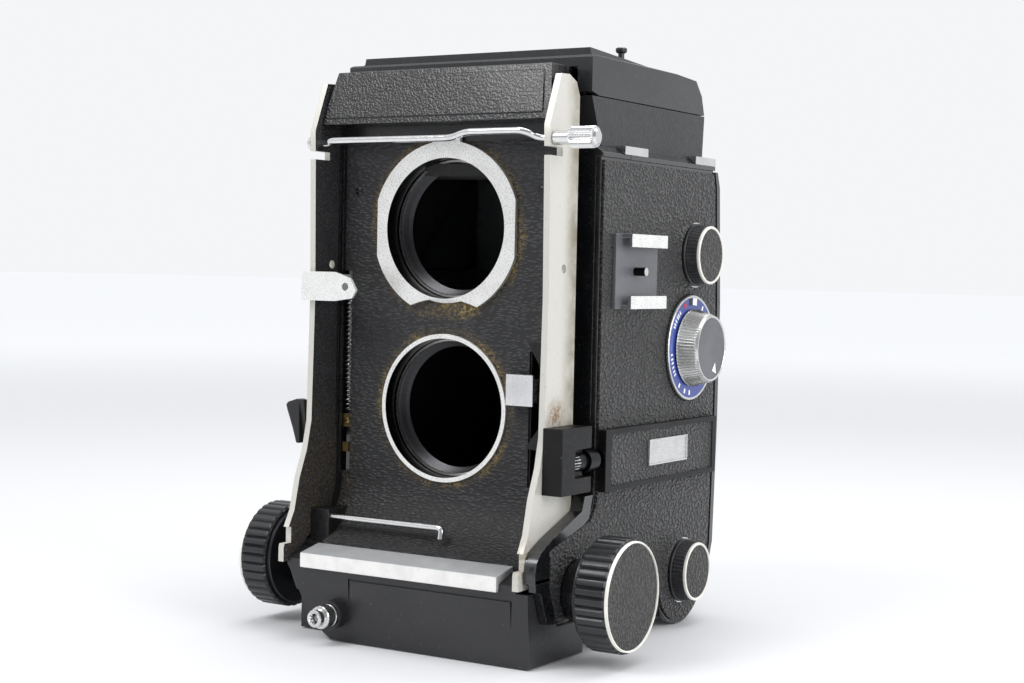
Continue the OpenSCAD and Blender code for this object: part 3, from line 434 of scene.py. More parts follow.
@dataclass(frozen=True)
class CreasedLeatherette(Finish):
    """Fine creased vinyl on the lens panel, with brown corrosion round the mounts.

    The creases run level across the panel. Verdigris and rust creep out from
    under the two metal rings and lie in the creases as ochre crumbs.
    """

    colour: str = "#18181a"
    light: str = "#3b3b3d"
    rust: str = "#8f763a"
    crust: str = "#c4ae6c"
    grime: str = "#6d5a38"

    def dress(self, tree: Tree, shader: Node, where: Socket) -> None:
        """Adds the level creases and the corrosion that follows the rings.

        Args:
            tree: Node tree of the material.
            shader: Principled shader to feed.
            where: Object coordinates in metres.
        """
        flat = stretched(tree, where, (0.42, 1.0, 1.0))
        crease = add(
            tree,
            "TexVoronoi",
            {"Vector": flat, "Scale": per_metre(0.68), "Smoothness": 0.4, "Randomness": 1.0},
            feature="SMOOTH_F1",
        ).outputs["Distance"]
        ridge = span(tree, crease, 0.2, 0.66, 1.0, 0.0)
        fine = noise(tree, flat, size_mm=0.5, detail=3.0, rough=0.6)
        height = combine(tree, "ADD", ridge, combine(tree, "MULTIPLY", fine, 0.5))
        patch = noise(tree, where, size_mm=12.0, detail=3.0, rough=0.5)
        shade = combine(tree, "MULTIPLY", ridge, span(tree, patch, 0.3, 0.7, 0.1, 0.5))
        colour = blend_colours(tree, shade, linear(self.colour), linear(self.light))
        crumbs = noise(tree, where, size_mm=0.8, detail=5.0, rough=0.75)
        clumps = noise(tree, where, size_mm=9.0, detail=2.0, rough=0.5)
        for height_z, radius, reach in ((VIEWING_Z, 24.3, 2.8), (TAKING_Z, 20.8, 3.2)):
            offset = add(
                tree,
                "VectorMath",
                {0: where, 1: (0.0, PANEL_Y * MM, height_z * MM)},
                operation="DISTANCE",
            ).outputs["Value"]
            near = span(tree, offset, (radius - 0.5) * MM, (radius + reach) * MM, 1.0, 0.0)
            amount = combine(tree, "MULTIPLY", near, span(tree, clumps, 0.4, 0.62, 0.2, 1.0))
            stain = combine(tree, "MULTIPLY", amount, span(tree, crumbs, 0.42, 0.6, 0.0, 0.85))
            colour = blend_colours(tree, stain, colour, linear(self.rust))
            crust = combine(tree, "MULTIPLY", amount, span(tree, crumbs, 0.6, 0.68, 0.0, 0.9))
            colour = blend_colours(tree, crust, colour, linear(self.crust))
        place = add(tree, "SeparateXYZ", {0: where})
        low_left = combine(
            tree,
            "MULTIPLY",
            span(tree, place.outputs["X"], -0.026, -0.035, 0.0, 1.0),
            span(tree, place.outputs["Z"], 0.075, 0.045, 0.0, 1.0),
        )
        grime = combine(tree, "MULTIPLY", low_left, span(tree, crumbs, 0.5, 0.62, 0.0, 0.6))
        colour = blend_colours(tree, grime, colour, linear(self.grime))
        feed(
            tree,
            shader,
            base_color=colour,
            roughness=span(tree, ridge, 0.0, 1.0, 0.62, 0.46),
            ior=1.48,
            sheen_weight=0.06,
            normal=bump(tree, height, depth_mm=0.17),
        )


class Lay(Enum):
    """Direction of the tool marks on a bare metal surface."""

    NONE = (1.0, 1.0, 1.0)
    ACROSS = (0.04, 1.0, 1.0)
    DEPTH = (1.0, 0.04, 1.0)


@dataclass(frozen=True)
class Metal(Finish):
    """Bare, plated or anodised metal: tool marks, handling marks and tarnish.

    Tool marks are finer than the render can show, so they are drawn about
    0.15 mm apart, which still reads as a brushed or turned face.
    """

    colour: str = "#c9c9c7"
    tarnish: str = "#6f6a60"
    roughness: float = 0.28
    lay: Lay = Lay.NONE
    marks_mm: float = 0.15
    depth_mm: float = 0.006
    spots: float = 0.25
    metallic: float = 1.0

    def dress(self, tree: Tree, shader: Node, where: Socket) -> None:
        """Adds tool marks to the roughness and relief, and spots to the colour.

        Args:
            tree: Node tree of the material.
            shader: Principled shader to feed.
            where: Object coordinates in metres.
        """
        marks = noise(
            tree,
            stretched(tree, where, self.lay.value),
            size_mm=self.marks_mm,
            detail=2.0,
            rough=0.5,
        )
        cloud = noise(tree, where, size_mm=5.0, detail=4.0, rough=0.6)
        pits = noise(tree, where, size_mm=0.8, detail=3.0, rough=0.7)
        base = linear(self.colour)
        dull = tuple(c * 0.9 for c in base[:3]) + (1.0,)
        colour = blend_colours(tree, span(tree, cloud, 0.35, 0.7, 0.0, 1.0), base, dull)
        spot = combine(tree, "MULTIPLY", span(tree, pits, 0.58, 0.7, 0.0, 1.0), self.spots)
        colour = blend_colours(tree, spot, colour, linear(self.tarnish))
        rough = combine(
            tree,
            "ADD",
            span(tree, marks, 0.3, 0.7, self.roughness - 0.04, self.roughness + 0.06),
            combine(tree, "MULTIPLY", spot, 0.5),
        )
        feed(tree, shader, base_color=colour, roughness=rough, metallic=self.metallic)
        feed(tree, shader, normal=bump(tree, marks, depth_mm=self.depth_mm))


@dataclass(frozen=True)
class SilverEnamel(Finish):
    """Satin silver-white lacquer on the side plates, darker and warmer towards the rear.

    The colour drifts to a darker warm grey at the rear edge, and a brown bloom sits above the scale
    block.
    """

    colour: str = "#cac8c1"
    aged: str = "#857d6b"
    stain: str = "#7d5c2c"
    soil: str = "#8f7c56"
    dirt: str = "#857a66"
    bloom_at: Point = (PLATE_OUT, -43.5, 65.5)
    foot_at: Point = (PLATE_OUT, -57.0, 28.5)

    def dress(self, tree: Tree, shader: Node, where: Socket) -> None:
        """Adds the darker warm drift towards the rear, the brown stain and fine grime in the coat.

        Args:
            tree: Node tree of the material.
            shader: Principled shader to feed.
            where: Object coordinates in metres.
        """
        place = add(tree, "SeparateXYZ", {0: where})
        cloud = noise(tree, where, size_mm=7.0, detail=4.0, rough=0.6)
        fine = noise(tree, where, size_mm=1.1, detail=4.0, rough=0.65)
        # Darker, warmer colour towards the rear edge of the plate
        back = span(tree, place.outputs["Y"], -0.0425, -0.0345, 0.0, 1.0)
        warm = combine(tree, "MULTIPLY", back, span(tree, cloud, 0.3, 0.7, 0.35, 1.0))
        colour = blend_colours(tree, warm, linear(self.colour), linear(self.aged))
        above = add(
            tree,
            "VectorMath",
            {0: where, 1: mm(*self.bloom_at)},
            operation="DISTANCE",
        ).outputs["Value"]
        bloom = span(tree, above, 0.0008, 0.0065, 1.0, 0.0)
        bloom = combine(tree, "MULTIPLY", bloom, span(tree, fine, 0.3, 0.62, 0.15, 0.95))
        colour = blend_colours(tree, bloom, colour, linear(self.stain))
        foot = add(
            tree,
            "VectorMath",
            {0: where, 1: mm(*self.foot_at)},
            operation="DISTANCE",
        ).outputs["Value"]
        soil = combine(
            tree,
            "MULTIPLY",
            span(tree, foot, 0.001, 0.008, 0.75, 0.0),
            span(tree, fine, 0.35, 0.65, 0.1, 1.0),
        )
        colour = blend_colours(tree, soil, colour, linear(self.soil))
        dirt = span(tree, fine, 0.6, 0.74, 0.0, 0.3)
        colour = blend_colours(tree, dirt, colour, linear(self.dirt))
        rough = span(tree, fine, 0.3, 0.7, 0.3, 0.42)
        feed(tree, shader, base_color=colour, roughness=rough, metallic=0.25, ior=1.5)
        feed(
            tree,
            shader,
            normal=bump(
                tree, noise(tree, where, size_mm=0.9, detail=2.0, rough=0.5), depth_mm=0.012
            ),
        )


@dataclass(frozen=True)
class Glass(Finish):
    """Clear or ground optical glass, faintly dusty so that it catches the light."""

    tint: str = "#eef4f2"
    ground: float = 0.04
    rings_mm: float = 0.0
    silvered: bool = False
    dust: str = "#b9bcb8"

    def dress(self, tree: Tree, shader: Node, where: Socket) -> None:
        """Adds dust, and the fine moulded rings of a field screen where asked.

        Args:
            tree: Node tree of the material.
            shader: Principled shader to feed.
            where: Object coordinates in metres.
        """
        dust = noise(tree, where, size_mm=2.2, detail=4.0, rough=0.6)
        rough = span(tree, dust, 0.45, 0.8, self.ground, self.ground + 0.18)
        colour = blend_colours(
            tree, span(tree, dust, 0.5, 0.8, 0.0, 0.35), linear(self.tint), linear(self.dust)
        )
        feed(tree, shader, base_color=colour, roughness=rough)
        if self.silvered:
            feed(tree, shader, metallic=1.0)
        else:
            feed(tree, shader, transmission_weight=0.9, ior=1.52)
        height = dust
        if self.rings_mm > 0:
            centre = stretched(tree, where, (1.0, 1.0, 0.0))
            rate = per_metre(self.rings_mm) / (2 * math.pi)
            wave = add(
                tree,
                "TexWave",
                {"Vector": centre, "Scale": rate, "Distortion": 0.0},
                wave_type="RINGS",
                rings_direction="Z",
            ).outputs["Fac"]
            height = combine(tree, "ADD", dust, wave)
        feed(tree, shader, normal=bump(tree, height, depth_mm=0.02))


@dataclass(frozen=True)
class BellowsCloth(Finish):
    """Rubberised cloth: a fine weave under a dull black skin, greyed on the folds."""

    thread_mm: float = 0.35
    colour: str = "#121212"
    dust: str = "#33312e"

    def dress(self, tree: Tree, shader: Node, where: Socket) -> None:
        """Adds the weave along both ways of the cloth and dust on the folds.

        Args:
            tree: Node tree of the material.
            shader: Principled shader to feed.
            where: Object coordinates in metres.
        """
        turned = add(tree, "Mapping", {"Vector": where, "Rotation": (0.6, 0.0, 0.785)}).outputs[0]
        rate = per_metre(self.thread_mm) / (2 * math.pi)
        inputs = {"Vector": turned, "Scale": rate, "Distortion": 0.4}
        waves = [
            add(tree, "TexWave", inputs, bands_direction=way).outputs["Fac"] for way in ("X", "Y")
        ]
        weave = combine(tree, "MULTIPLY", waves[0], waves[1])
        dust = noise(tree, where, size_mm=4.0, detail=4.0, rough=0.6)
        colour = blend_colours(
            tree, span(tree, dust, 0.45, 0.75, 0.0, 0.4), linear(self.colour), linear(self.dust)
        )
        feed(tree, shader, base_color=colour, roughness=0.72, sheen_weight=0.1)
        feed(tree, shader, normal=bump(tree, weave, depth_mm=0.05))


# Slight orange peel: soft broad highlights, and grey corners that are part rubbed paint and part
# painted highlight
CASTING = Paint(
    "satin black enamel on die-cast aluminium",
    colour="#111113", worn="#5b5c5f", roughness=0.3, grain_mm=0.9, depth_mm=0.018, wear=0.4,
    coat=0.3,
)
# Gloss on sheet metal: sharper highlights that follow the bent edges
COVER = Paint(
    "gloss black stoved enamel on sheet aluminium",
    colour="#0d0e10", worn="#6a6b6e", roughness=0.22, grain_mm=1.2, depth_mm=0.012,
    wear=0.45, coat=0.6,
)
# Dead flat and a little sandy, so that the inside reads as a hole
MATT = Paint(
    "matt black baffle paint",
    colour="#0b0b0c", worn="#2a2a2b", roughness=0.72, relief=Relief.SAND, grain_mm=0.35,
    wear=0.2,
)
# Semi-matt over a cast skin: even dark grey without clear reflections
TRAY = Paint(
    "semi-matt black enamel on cast tray",
    colour="#1e1e20", worn="#505052", relief=Relief.SAND, grain_mm=0.45, depth_mm=0.02,
    coat=0.1,
)
# Smooth pressed lid: one long pale reflection across the flat
HOOD_TOP = Paint(
    "smooth satin grey-black enamel on pressed lid",
    colour="#1d1e20", worn="#6b6c6f", roughness=0.3, grain_mm=1.4, depth_mm=0.01, coat=0.2,
)
# Fine wrinkles that break the light into a dull grain
HOOD_WRINKLE = Paint(
    "fine wrinkle enamel on hood frame",
    colour="#1a1b1d", worn="#5a5a5c", roughness=0.42, relief=Relief.WRINKLE, grain_mm=0.62,
    depth_mm=0.07, wear=0.25, coat=0.1,
)
# Raised pebbles that catch small points of light
CAP_PEBBLE = Paint(
    "pebbled black enamel on name cap",
    colour="#0f0f11", worn="#707072", roughness=0.3, relief=Relief.WRINKLE, grain_mm=0.56,
    depth_mm=0.085, wear=0.5, coat=0.2,
)
# Hard phenolic: tight small highlights on the ribs
KNOB = Paint(
    "moulded black phenolic",
    colour="#17181b", worn="#55565a", roughness=0.34, relief=Relief.SAND, grain_mm=0.4,
    depth_mm=0.01, wear=0.3, coat=0.1,
)
# Nylon, a little waxy, without a mirror highlight
RUBBERY = Paint(
    "moulded black nylon lever",
    colour="#161617", worn="#4c4c4e", relief=Relief.SAND, grain_mm=0.5, depth_mm=0.015,
    wear=0.3,
)
# Slightly yellowed ivory that outlines the knob faces
RING_WHITE = Paint(
    "ivory lacquer in a turned ring",
    colour="#dcdad3", worn="#a59f90", roughness=0.38, relief=Relief.SAND, grain_mm=0.5,
    depth_mm=0.01, wear=0.25,
)
# Fine blasted face that stays mid-grey from any side
FACE_GREY = Paint(
    "satin grey anodised face",
    colour="#55565a", worn="#8b8c8f", roughness=0.36, relief=Relief.SAND, grain_mm=0.3,
    depth_mm=0.008, wear=0.2,
)
# Bright enamel under a thin clear coat
DIAL_BLUE = Paint(
    "blue enamel dial",
    colour="#2c3f86", worn="#6676b0", roughness=0.32, relief=Relief.SAND, grain_mm=0.5,
    depth_mm=0.01, wear=0.25, coat=0.3,
)
# Engraved marks filled with flat paint
MARK_WHITE = Paint(
    "white filled marks",
    colour="#eceae3", worn="#b8b4a8", roughness=0.45, relief=Relief.SAND, grain_mm=0.3,
    depth_mm=0.01, wear=0.1,
)
# The one coloured mark of the dial
MARK_RED = Paint(
    "red filled mark",
    colour="#b3202a", worn="#7a1a20", relief=Relief.SAND, grain_mm=0.3, depth_mm=0.01,
    wear=0.1,
)
# Dark mark that separates the white ones
MARK_BLACK = Paint(
    "black filled mark",
    colour="#101012", worn="#303032", roughness=0.45, relief=Relief.SAND, grain_mm=0.3,
    depth_mm=0.01, wear=0.1,
)
# Pebbles just over a millimetre wide, with paler rubbed crowns
BODY_LEATHER = Leatherette("coarse pebbled leatherette")
# The same vinyl in a finer grain, cut for the small discs
FACE_LEATHER = Leatherette(
    "knob face leatherette",
    colour="#201f1e", light="#434140", grain_mm=0.85, draw=(1.0, 1.0, 1.0), depth_mm=0.22,
    roughness=0.45,
)
# Fine level creases with ochre corrosion round the mounts
PANEL_LEATHER = CreasedLeatherette("creased panel leatherette")
# Turned aluminium with stained pits, the brightest part in front
RING_METAL = Metal(
    "turned aluminium mount ring",
    colour="#ebebe8", tarnish="#7d6b45", roughness=0.3, marks_mm=0.3, depth_mm=0.012,
    spots=0.4, metallic=0.6,
)
# Marks run along the depth, so that highlights spread across it
RAIL = Metal(
    "satin anodised aluminium",
    colour="#dcdcda", tarnish="#8a867c", lay=Lay.DEPTH, spots=0.06,
)
# Brushed across, nearly white where it faces the light
SILL_METAL = Metal(
    "brushed aluminium sill",
    colour="#f2f1ee", tarnish="#a8a396", roughness=0.32, lay=Lay.ACROSS, spots=0.1,
    metallic=0.55,
)
# The same metal painted darker grey on its top: painted shade for the dim surround that the top
# reflects
SILL_TOP_PAINTED_SHADE = Metal(
    "greyed brushed aluminium",
    colour="#c9cbcd", tarnish="#8d8878", roughness=0.42, lay=Lay.ACROSS, spots=0.12,
    metallic=0.45,
)
# Almost unmarked anodising that reads as a clean white line
BRIGHT_RAIL = Metal(
    "bright anodised shoe rail",
    colour="#f0f0ee", tarnish="#a09a8c", roughness=0.3, lay=Lay.DEPTH, depth_mm=0.003,
    spots=0.03, metallic=0.6,
)
# Plain machined steel, darker than the plated parts
STEEL = Metal(
    "machined steel",
    colour="#b4b3b0", tarnish="#6b655a", roughness=0.27, marks_mm=0.2,
)
# Near-mirror plate with a few dark pits
CHROME = Metal(
    "bright chrome plate",
    colour="#dedede", tarnish="#84765a", roughness=0.11, marks_mm=0.4, depth_mm=0.003,
)
# Nearly black steel with a cold edge
BLUED = Metal(
    "blued steel bar",
    colour="#26272a", tarnish="#4a4540", roughness=0.3, marks_mm=0.25, spots=0.3,
)
# Dull black moulding that is pale only on its corners, part rubbed and part painted highlight
BLOCK = Paint(
    "black moulded block",
    colour="#070708", roughness=0.42, relief=Relief.SMOOTH, grain_mm=1.2, depth_mm=0.006,
    wear=0.5, ior=1.33,
)
# Darkened plate that keeps the barrels from glowing
SMOKED = Metal(
    "smoked chrome inner barrel",
    colour="#3a3a3c", tarnish="#5a564c", roughness=0.3, marks_mm=0.25, depth_mm=0.008,
    spots=0.3,
)
# Warm metal dulled by old grease
BRASS = Metal(
    "worn brass with old grease",
    colour="#a98f5c", tarnish="#5f4f2e", roughness=0.38, marks_mm=0.6, depth_mm=0.02,
    spots=0.7,
)
# Silver-white lacquer that turns darker and warmer towards the rear
PLATE = SilverEnamel("aged silver lacquer")
# Clear glass with faint dust
CLEAR = Glass("clear optical glass")
# Milky ground glass with fine moulded rings
SCREEN = Glass(
    "ground field screen",
    tint="#e9efec", ground=0.3, rings_mm=0.4,
)
# Silvered on its front face, so without a double image
MIRROR = Glass(
    "front silvered mirror",
    tint="#dfe4e6", ground=0.02, silvered=True,
)
# Fine weave under a dull black skin
CLOTH = BellowsCloth("rubberised bellows cloth")


# ------------------------------------------------------------------- meshes
Chooser = Callable[[Vector, Vector], Finish]
Ring = tuple[float, float, float]


def slot_of(node: str) -> str:
    """Returns the record's material slot of a CAD node."""
    rows = frame["record"]["subparts"]
    return next(row["material_slot"] for row in rows if row["node"] == node)


def mm(*values: float) -> Vector:
    """Returns a point given in millimetres as a vector in metres."""
    return Vector(values) * MM


def flutes(count: int, depth: float, sharpness: float = 1.0) -> Callable[[float], float]:
    """Makes a rim with ribs.

    Args:
        count: Number of ribs round the rim.
        depth: Depth of the grooves between them.
        sharpness: Above one gives broad ribs with narrow grooves.

    Returns:
        A function from angle to groove depth.
    """

    def groove(angle: float) -> float:
        """Returns the groove depth at an angle."""
        return depth * (0.5 - 0.5 * math.cos(count * angle)) ** sharpness

    return groove


class Shape:
    """A piece under construction: closed forms added one by one, each in its finish."""

    def __init__(self) -> None:
        """Starts with no forms."""
        self.bm = bmesh.new()
        self.finishes: list[Finish] = []

    def index(self, finish: Finish) -> int:
        """Finds the material index of a finish, adding it at its first use.

        Args:
            finish: Finish to look up.

        Returns:
            Its number among the shape's materials.
        """
        if finish not in self.finishes:
            self.finishes.append(finish)
        return self.finishes.index(finish)

    def faces(self, groups: Sequence[Sequence[bmesh.types.BMVert]], finish: Finish) -> None:
        """Adds faces from lists of corners, in one finish.

        Args:
            groups: Corners of each face, in order.
            finish: Finish of the faces.
        """
        number = self.index(finish)
        for corners in groups:
            face = self.bm.faces.new(corners)
            face.material_index = number

    def band(
        self,
        low: Sequence[bmesh.types.BMVert],
        high: Sequence[bmesh.types.BMVert],
        finish: Finish,
    ) -> None:
        """Adds the faces between two rings with as many corners.

        Args:
            low: Corners of the first ring.
            high: Corners of the second ring.
            finish: Finish of the faces.
        """
        n = len(low)
        self.faces(
            [(low[k], low[(k + 1) % n], high[(k + 1) % n], high[k]) for k in range(n)], finish
        )

    def turned(
        self,
        finish: Finish,
        axis: Axis,
        centre: Point,
        profile: Sequence[Ring],
        segments: int = 96,
        groove: Optional[Callable[[float], float]] = None,
        closed: bool = False,
    ) -> "Shape":
        """Adds a form turned on a lathe.

        Args:
            finish: Finish of the form.
            axis: Direction that the profile runs in.
            centre: Start of the axis, in millimetres.
            profile: Distance along, radius and share of the groove, per ring.
            segments: Number of sides.
            groove: Depth taken off the radius at an angle.
            closed: Whether the last ring joins the first, as in a hollow ring.

        Returns:
            The shape itself.
        """
        turn, base = TURNS[axis], mm(*centre)
        rings = []
        for along, radius, share in profile:
            ring = []
            for i in range(segments):
                angle = 2 * math.pi * i / segments
                r = radius - share * (groove(angle) if groove else 0.0)
                point = Vector((r * math.cos(angle), r * math.sin(angle), along)) * MM
                ring.append(self.bm.verts.new(turn @ point + base))
            rings.append(ring)
        pairs = list(zip(rings, rings[1:] + rings[:1])) if closed else list(zip(rings, rings[1:]))
        for low, high in pairs:
            self.band(low, high, finish)
        if not closed:
            self.faces([rings[0][::-1], rings[-1]], finish)
        return self

    def swept(
        self, finish: Finish, points: Sequence[Point], radius: float, sides: int = 14
    ) -> "Shape":
        """Adds a round wire along a line of points.

        Args:
            finish: Finish of the wire.
            points: Centreline in millimetres.
            radius: Radius of the wire.
            sides: Number of sides of its section.

        Returns:
            The shape itself.
        """
        line = [mm(*p) for p in points]
        across = (line[1] - line[0]).orthogonal().normalized()
        rings = []
        for i, point in enumerate(line):
            ahead = (line[min(i + 1, len(line) - 1)] - line[max(i - 1, 0)]).normalized()
            across = (across - ahead * across.dot(ahead)).normalized()
            side = ahead.cross(across)
            rings.append(
                [
                    self.bm.verts.new(
                        point
                        + radius
                        * MM
                        * (
                            across * math.cos(2 * math.pi * k / sides)
                            + side * math.sin(2 * math.pi * k / sides)
                        )
                    )
                    for k in range(sides)
                ]
            )
        for low, high in zip(rings, rings[1:]):
            self.band(low, high, finish)
        self.faces([rings[0][::-1], rings[-1]], finish)
        return self

    def prism(
        self,
        finish: Finish,
        axis: Axis,
        base: Point,
        outline: Sequence[tuple[float, float]],
        height: float,
    ) -> "Shape":
        """Adds a flat outline pulled out along an axis.

        Args:
            finish: Finish of the form.
            axis: Direction that it is pulled in.
            base: Place of the outline's origin, in millimetres.
            outline: Corners in the turned plane, anticlockwise.
            height: Length along the axis.

        Returns:
            The shape itself.
        """
        turn, origin = TURNS[axis], mm(*base)
        low, high = (
            [self.bm.verts.new(turn @ mm(u, v, t) + origin) for u, v in outline]
            for t in (0.0, height)
        )
        self.faces([low[::-1], high], finish)
        self.band(low, high, finish)
        return self

    def slab(self, finish: Finish, lo: Point, hi: Point) -> "Shape":
        """Adds a block between two corners given in millimetres."""
        outline = [(lo[0], lo[1]), (hi[0], lo[1]), (hi[0], hi[1]), (lo[0], hi[1])]
        return self.prism(finish, Axis.UP, (0, 0, lo[2]), outline, hi[2] - lo[2])

    def border(
        self, finish: Finish, along: int, lo: Point, hi: Point, side: float, rail: float
    ) -> "Shape":
        """Adds an upright rectangular frame of four bars.

        Args:
            finish: Finish of the bars.
            along: Axis that the level bars run along, 0 for X and 1 for Y.
            lo: Low corner, in millimetres.
            hi: High corner, in millimetres.
            side: Width of the upright bars.
            rail: Height of the level bars.

        Returns:
            The shape itself.
        """
        for start, end, low, high in (
            (lo[along], hi[along], lo[2], lo[2] + rail),
            (lo[along], hi[along], hi[2] - rail, hi[2]),
            (lo[along], lo[along] + side, lo[2] + rail, hi[2] - rail),
            (hi[along] - side, hi[along], lo[2] + rail, hi[2] - rail),
        ):
            near, far = list(lo), list(hi)
            near[along], far[along] = start, end
            near[2], far[2] = low, high
            self.slab(finish, tuple(near), tuple(far))
        return self

    def carried(self, node: str, finish: Finish, choose: Optional[Chooser] = None) -> "Shape":
        """Adds a CAD node's own surface, cleaned of needless edges.

        Args:
            node: CAD node to copy.
            finish: Finish of its faces.
            choose: Picks another finish from a face's centre in mm and normal.

        Returns:
            The shape itself.
        """
        before = set(self.bm.faces)
        old_verts = set(self.bm.verts)
        self.bm.from_mesh(frame["nodes"][node].data)
        verts = [v for v in self.bm.verts if v not in old_verts]
        bmesh.ops.remove_doubles(self.bm, verts=verts, dist=2e-6)
        verts = [v for v in self.bm.verts if v not in old_verts]
        edges = [e for e in self.bm.edges if e.verts[0] not in old_verts]
        bmesh.ops.dissolve_limit(
            self.bm,
            angle_limit=math.radians(0.6),
            use_dissolve_boundaries=False,
            verts=verts,
            edges=edges,
        )
        number = self.index(finish)
        for face in self.bm.faces:
            if face in before:
                continue
            face.material_index = number
            if choose:
                face.material_index = self.index(
                    choose(face.calc_center_median() / MM, face.normal)
                )
        return self

    def place(
        self,
        name: str,
        body: str,
        slot: str,
        replaces: Sequence[str] = (),
        bevel: float = 0.0,
        sharp: float = 32.0,
    ) -> bpy.types.Object:
        """Finishes the piece and hands it to the frame.

        Args:
            name: Name of the piece.
            body: CAD body that it rides on.
            slot: Material slot of the record; not used.
            replaces: CAD nodes that it stands for.
            bevel: Width of the softened edges, in millimetres.
            sharp: Least angle of an edge that stays crisp, in degrees.

        Returns:
            The new object.
        """
        bm = self.bm
        bmesh.ops.recalc_face_normals(bm, faces=bm.faces)
        limit = math.radians(sharp)
        if bevel > 0:
            edges = [e for e in bm.edges if e.is_manifold and e.calc_face_angle(0.0) > limit]
            bmesh.ops.bevel(
                bm,
                geom=edges,
                offset=bevel * MM,
                offset_type="OFFSET",
                segments=2,
                profile=0.5,
                affect="EDGES",
                clamp_overlap=True,
                material=-1,
            )
        for face in bm.faces:
            face.smooth = True
        for edge in bm.edges:
            edge.smooth = edge.is_manifold and edge.calc_face_angle(0.0) <= limit
        mesh = bpy.data.meshes.new(name)
        bm.to_mesh(mesh)
        bm.free()
        for finish in self.finishes:
            mesh.materials.append(finish.material())
        made = bpy.data.objects.new(name, mesh)
        bpy.context.scene.collection.objects.link(made)
        weighted = made.modifiers.new("even shading", "WEIGHTED_NORMAL")
        weighted.keep_sharp = True
        if body:
            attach(made, body)
        if replaces:
            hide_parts(*replaces)
        log.info("%s on %s, %d faces", name, body or "two bodies", len(mesh.polygons))
        return made


def body_of(node: str) -> str:
    """Returns the CAD body that a node belongs to."""
    return str(frame["nodes"][node]["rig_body"])


def carry(
    node: str, finish: Finish, bevel: float = 0.25, choose: Optional[Chooser] = None
) -> bpy.types.Object:
    """Carries one CAD node over as a piece with softened edges.

    Args:
        node: CAD node to carry.
        finish: Finish of its faces.
        bevel: Width of the softened edges, in millimetres.
        choose: Picks another finish face by face.

    Returns:
        The new piece.
    """
    shape = Shape().carried(node, finish, choose)
    return shape.place(node + "_piece", body_of(node), slot_of(node), replaces=[node], bevel=bevel)


def slotted_head(shape: Shape, finish: Finish, axis: Axis, centre: Point, radius: float) -> None:
    """Adds a domed screw head with a dark slot.

    Args:
        shape: Shape to add to.
        finish: Finish of the head.
        axis: Direction that the head faces.
        centre: Middle of the seat, in millimetres.
        radius: Radius of the head.
    """
    rise = radius * 0.3
    shape.turned(
        finish,
        axis,
        centre,
        [
            (-0.2, radius, 0), (rise * 0.5, radius, 0), (rise, radius * 0.8, 0),
            (rise * 1.15, radius * 0.3, 0),
        ],
        segments=24,
    )
    half, wide = radius * 0.84, radius * 0.14
    outline = [(-half, -wide), (half, -wide), (half, wide), (-half, wide)]
    turn = TURNS[axis]
    base = mm(*centre) + turn @ mm(0, 0, rise * 0.86)
    shape.prism(MATT, axis, tuple(base / MM), outline, rise * 0.42)


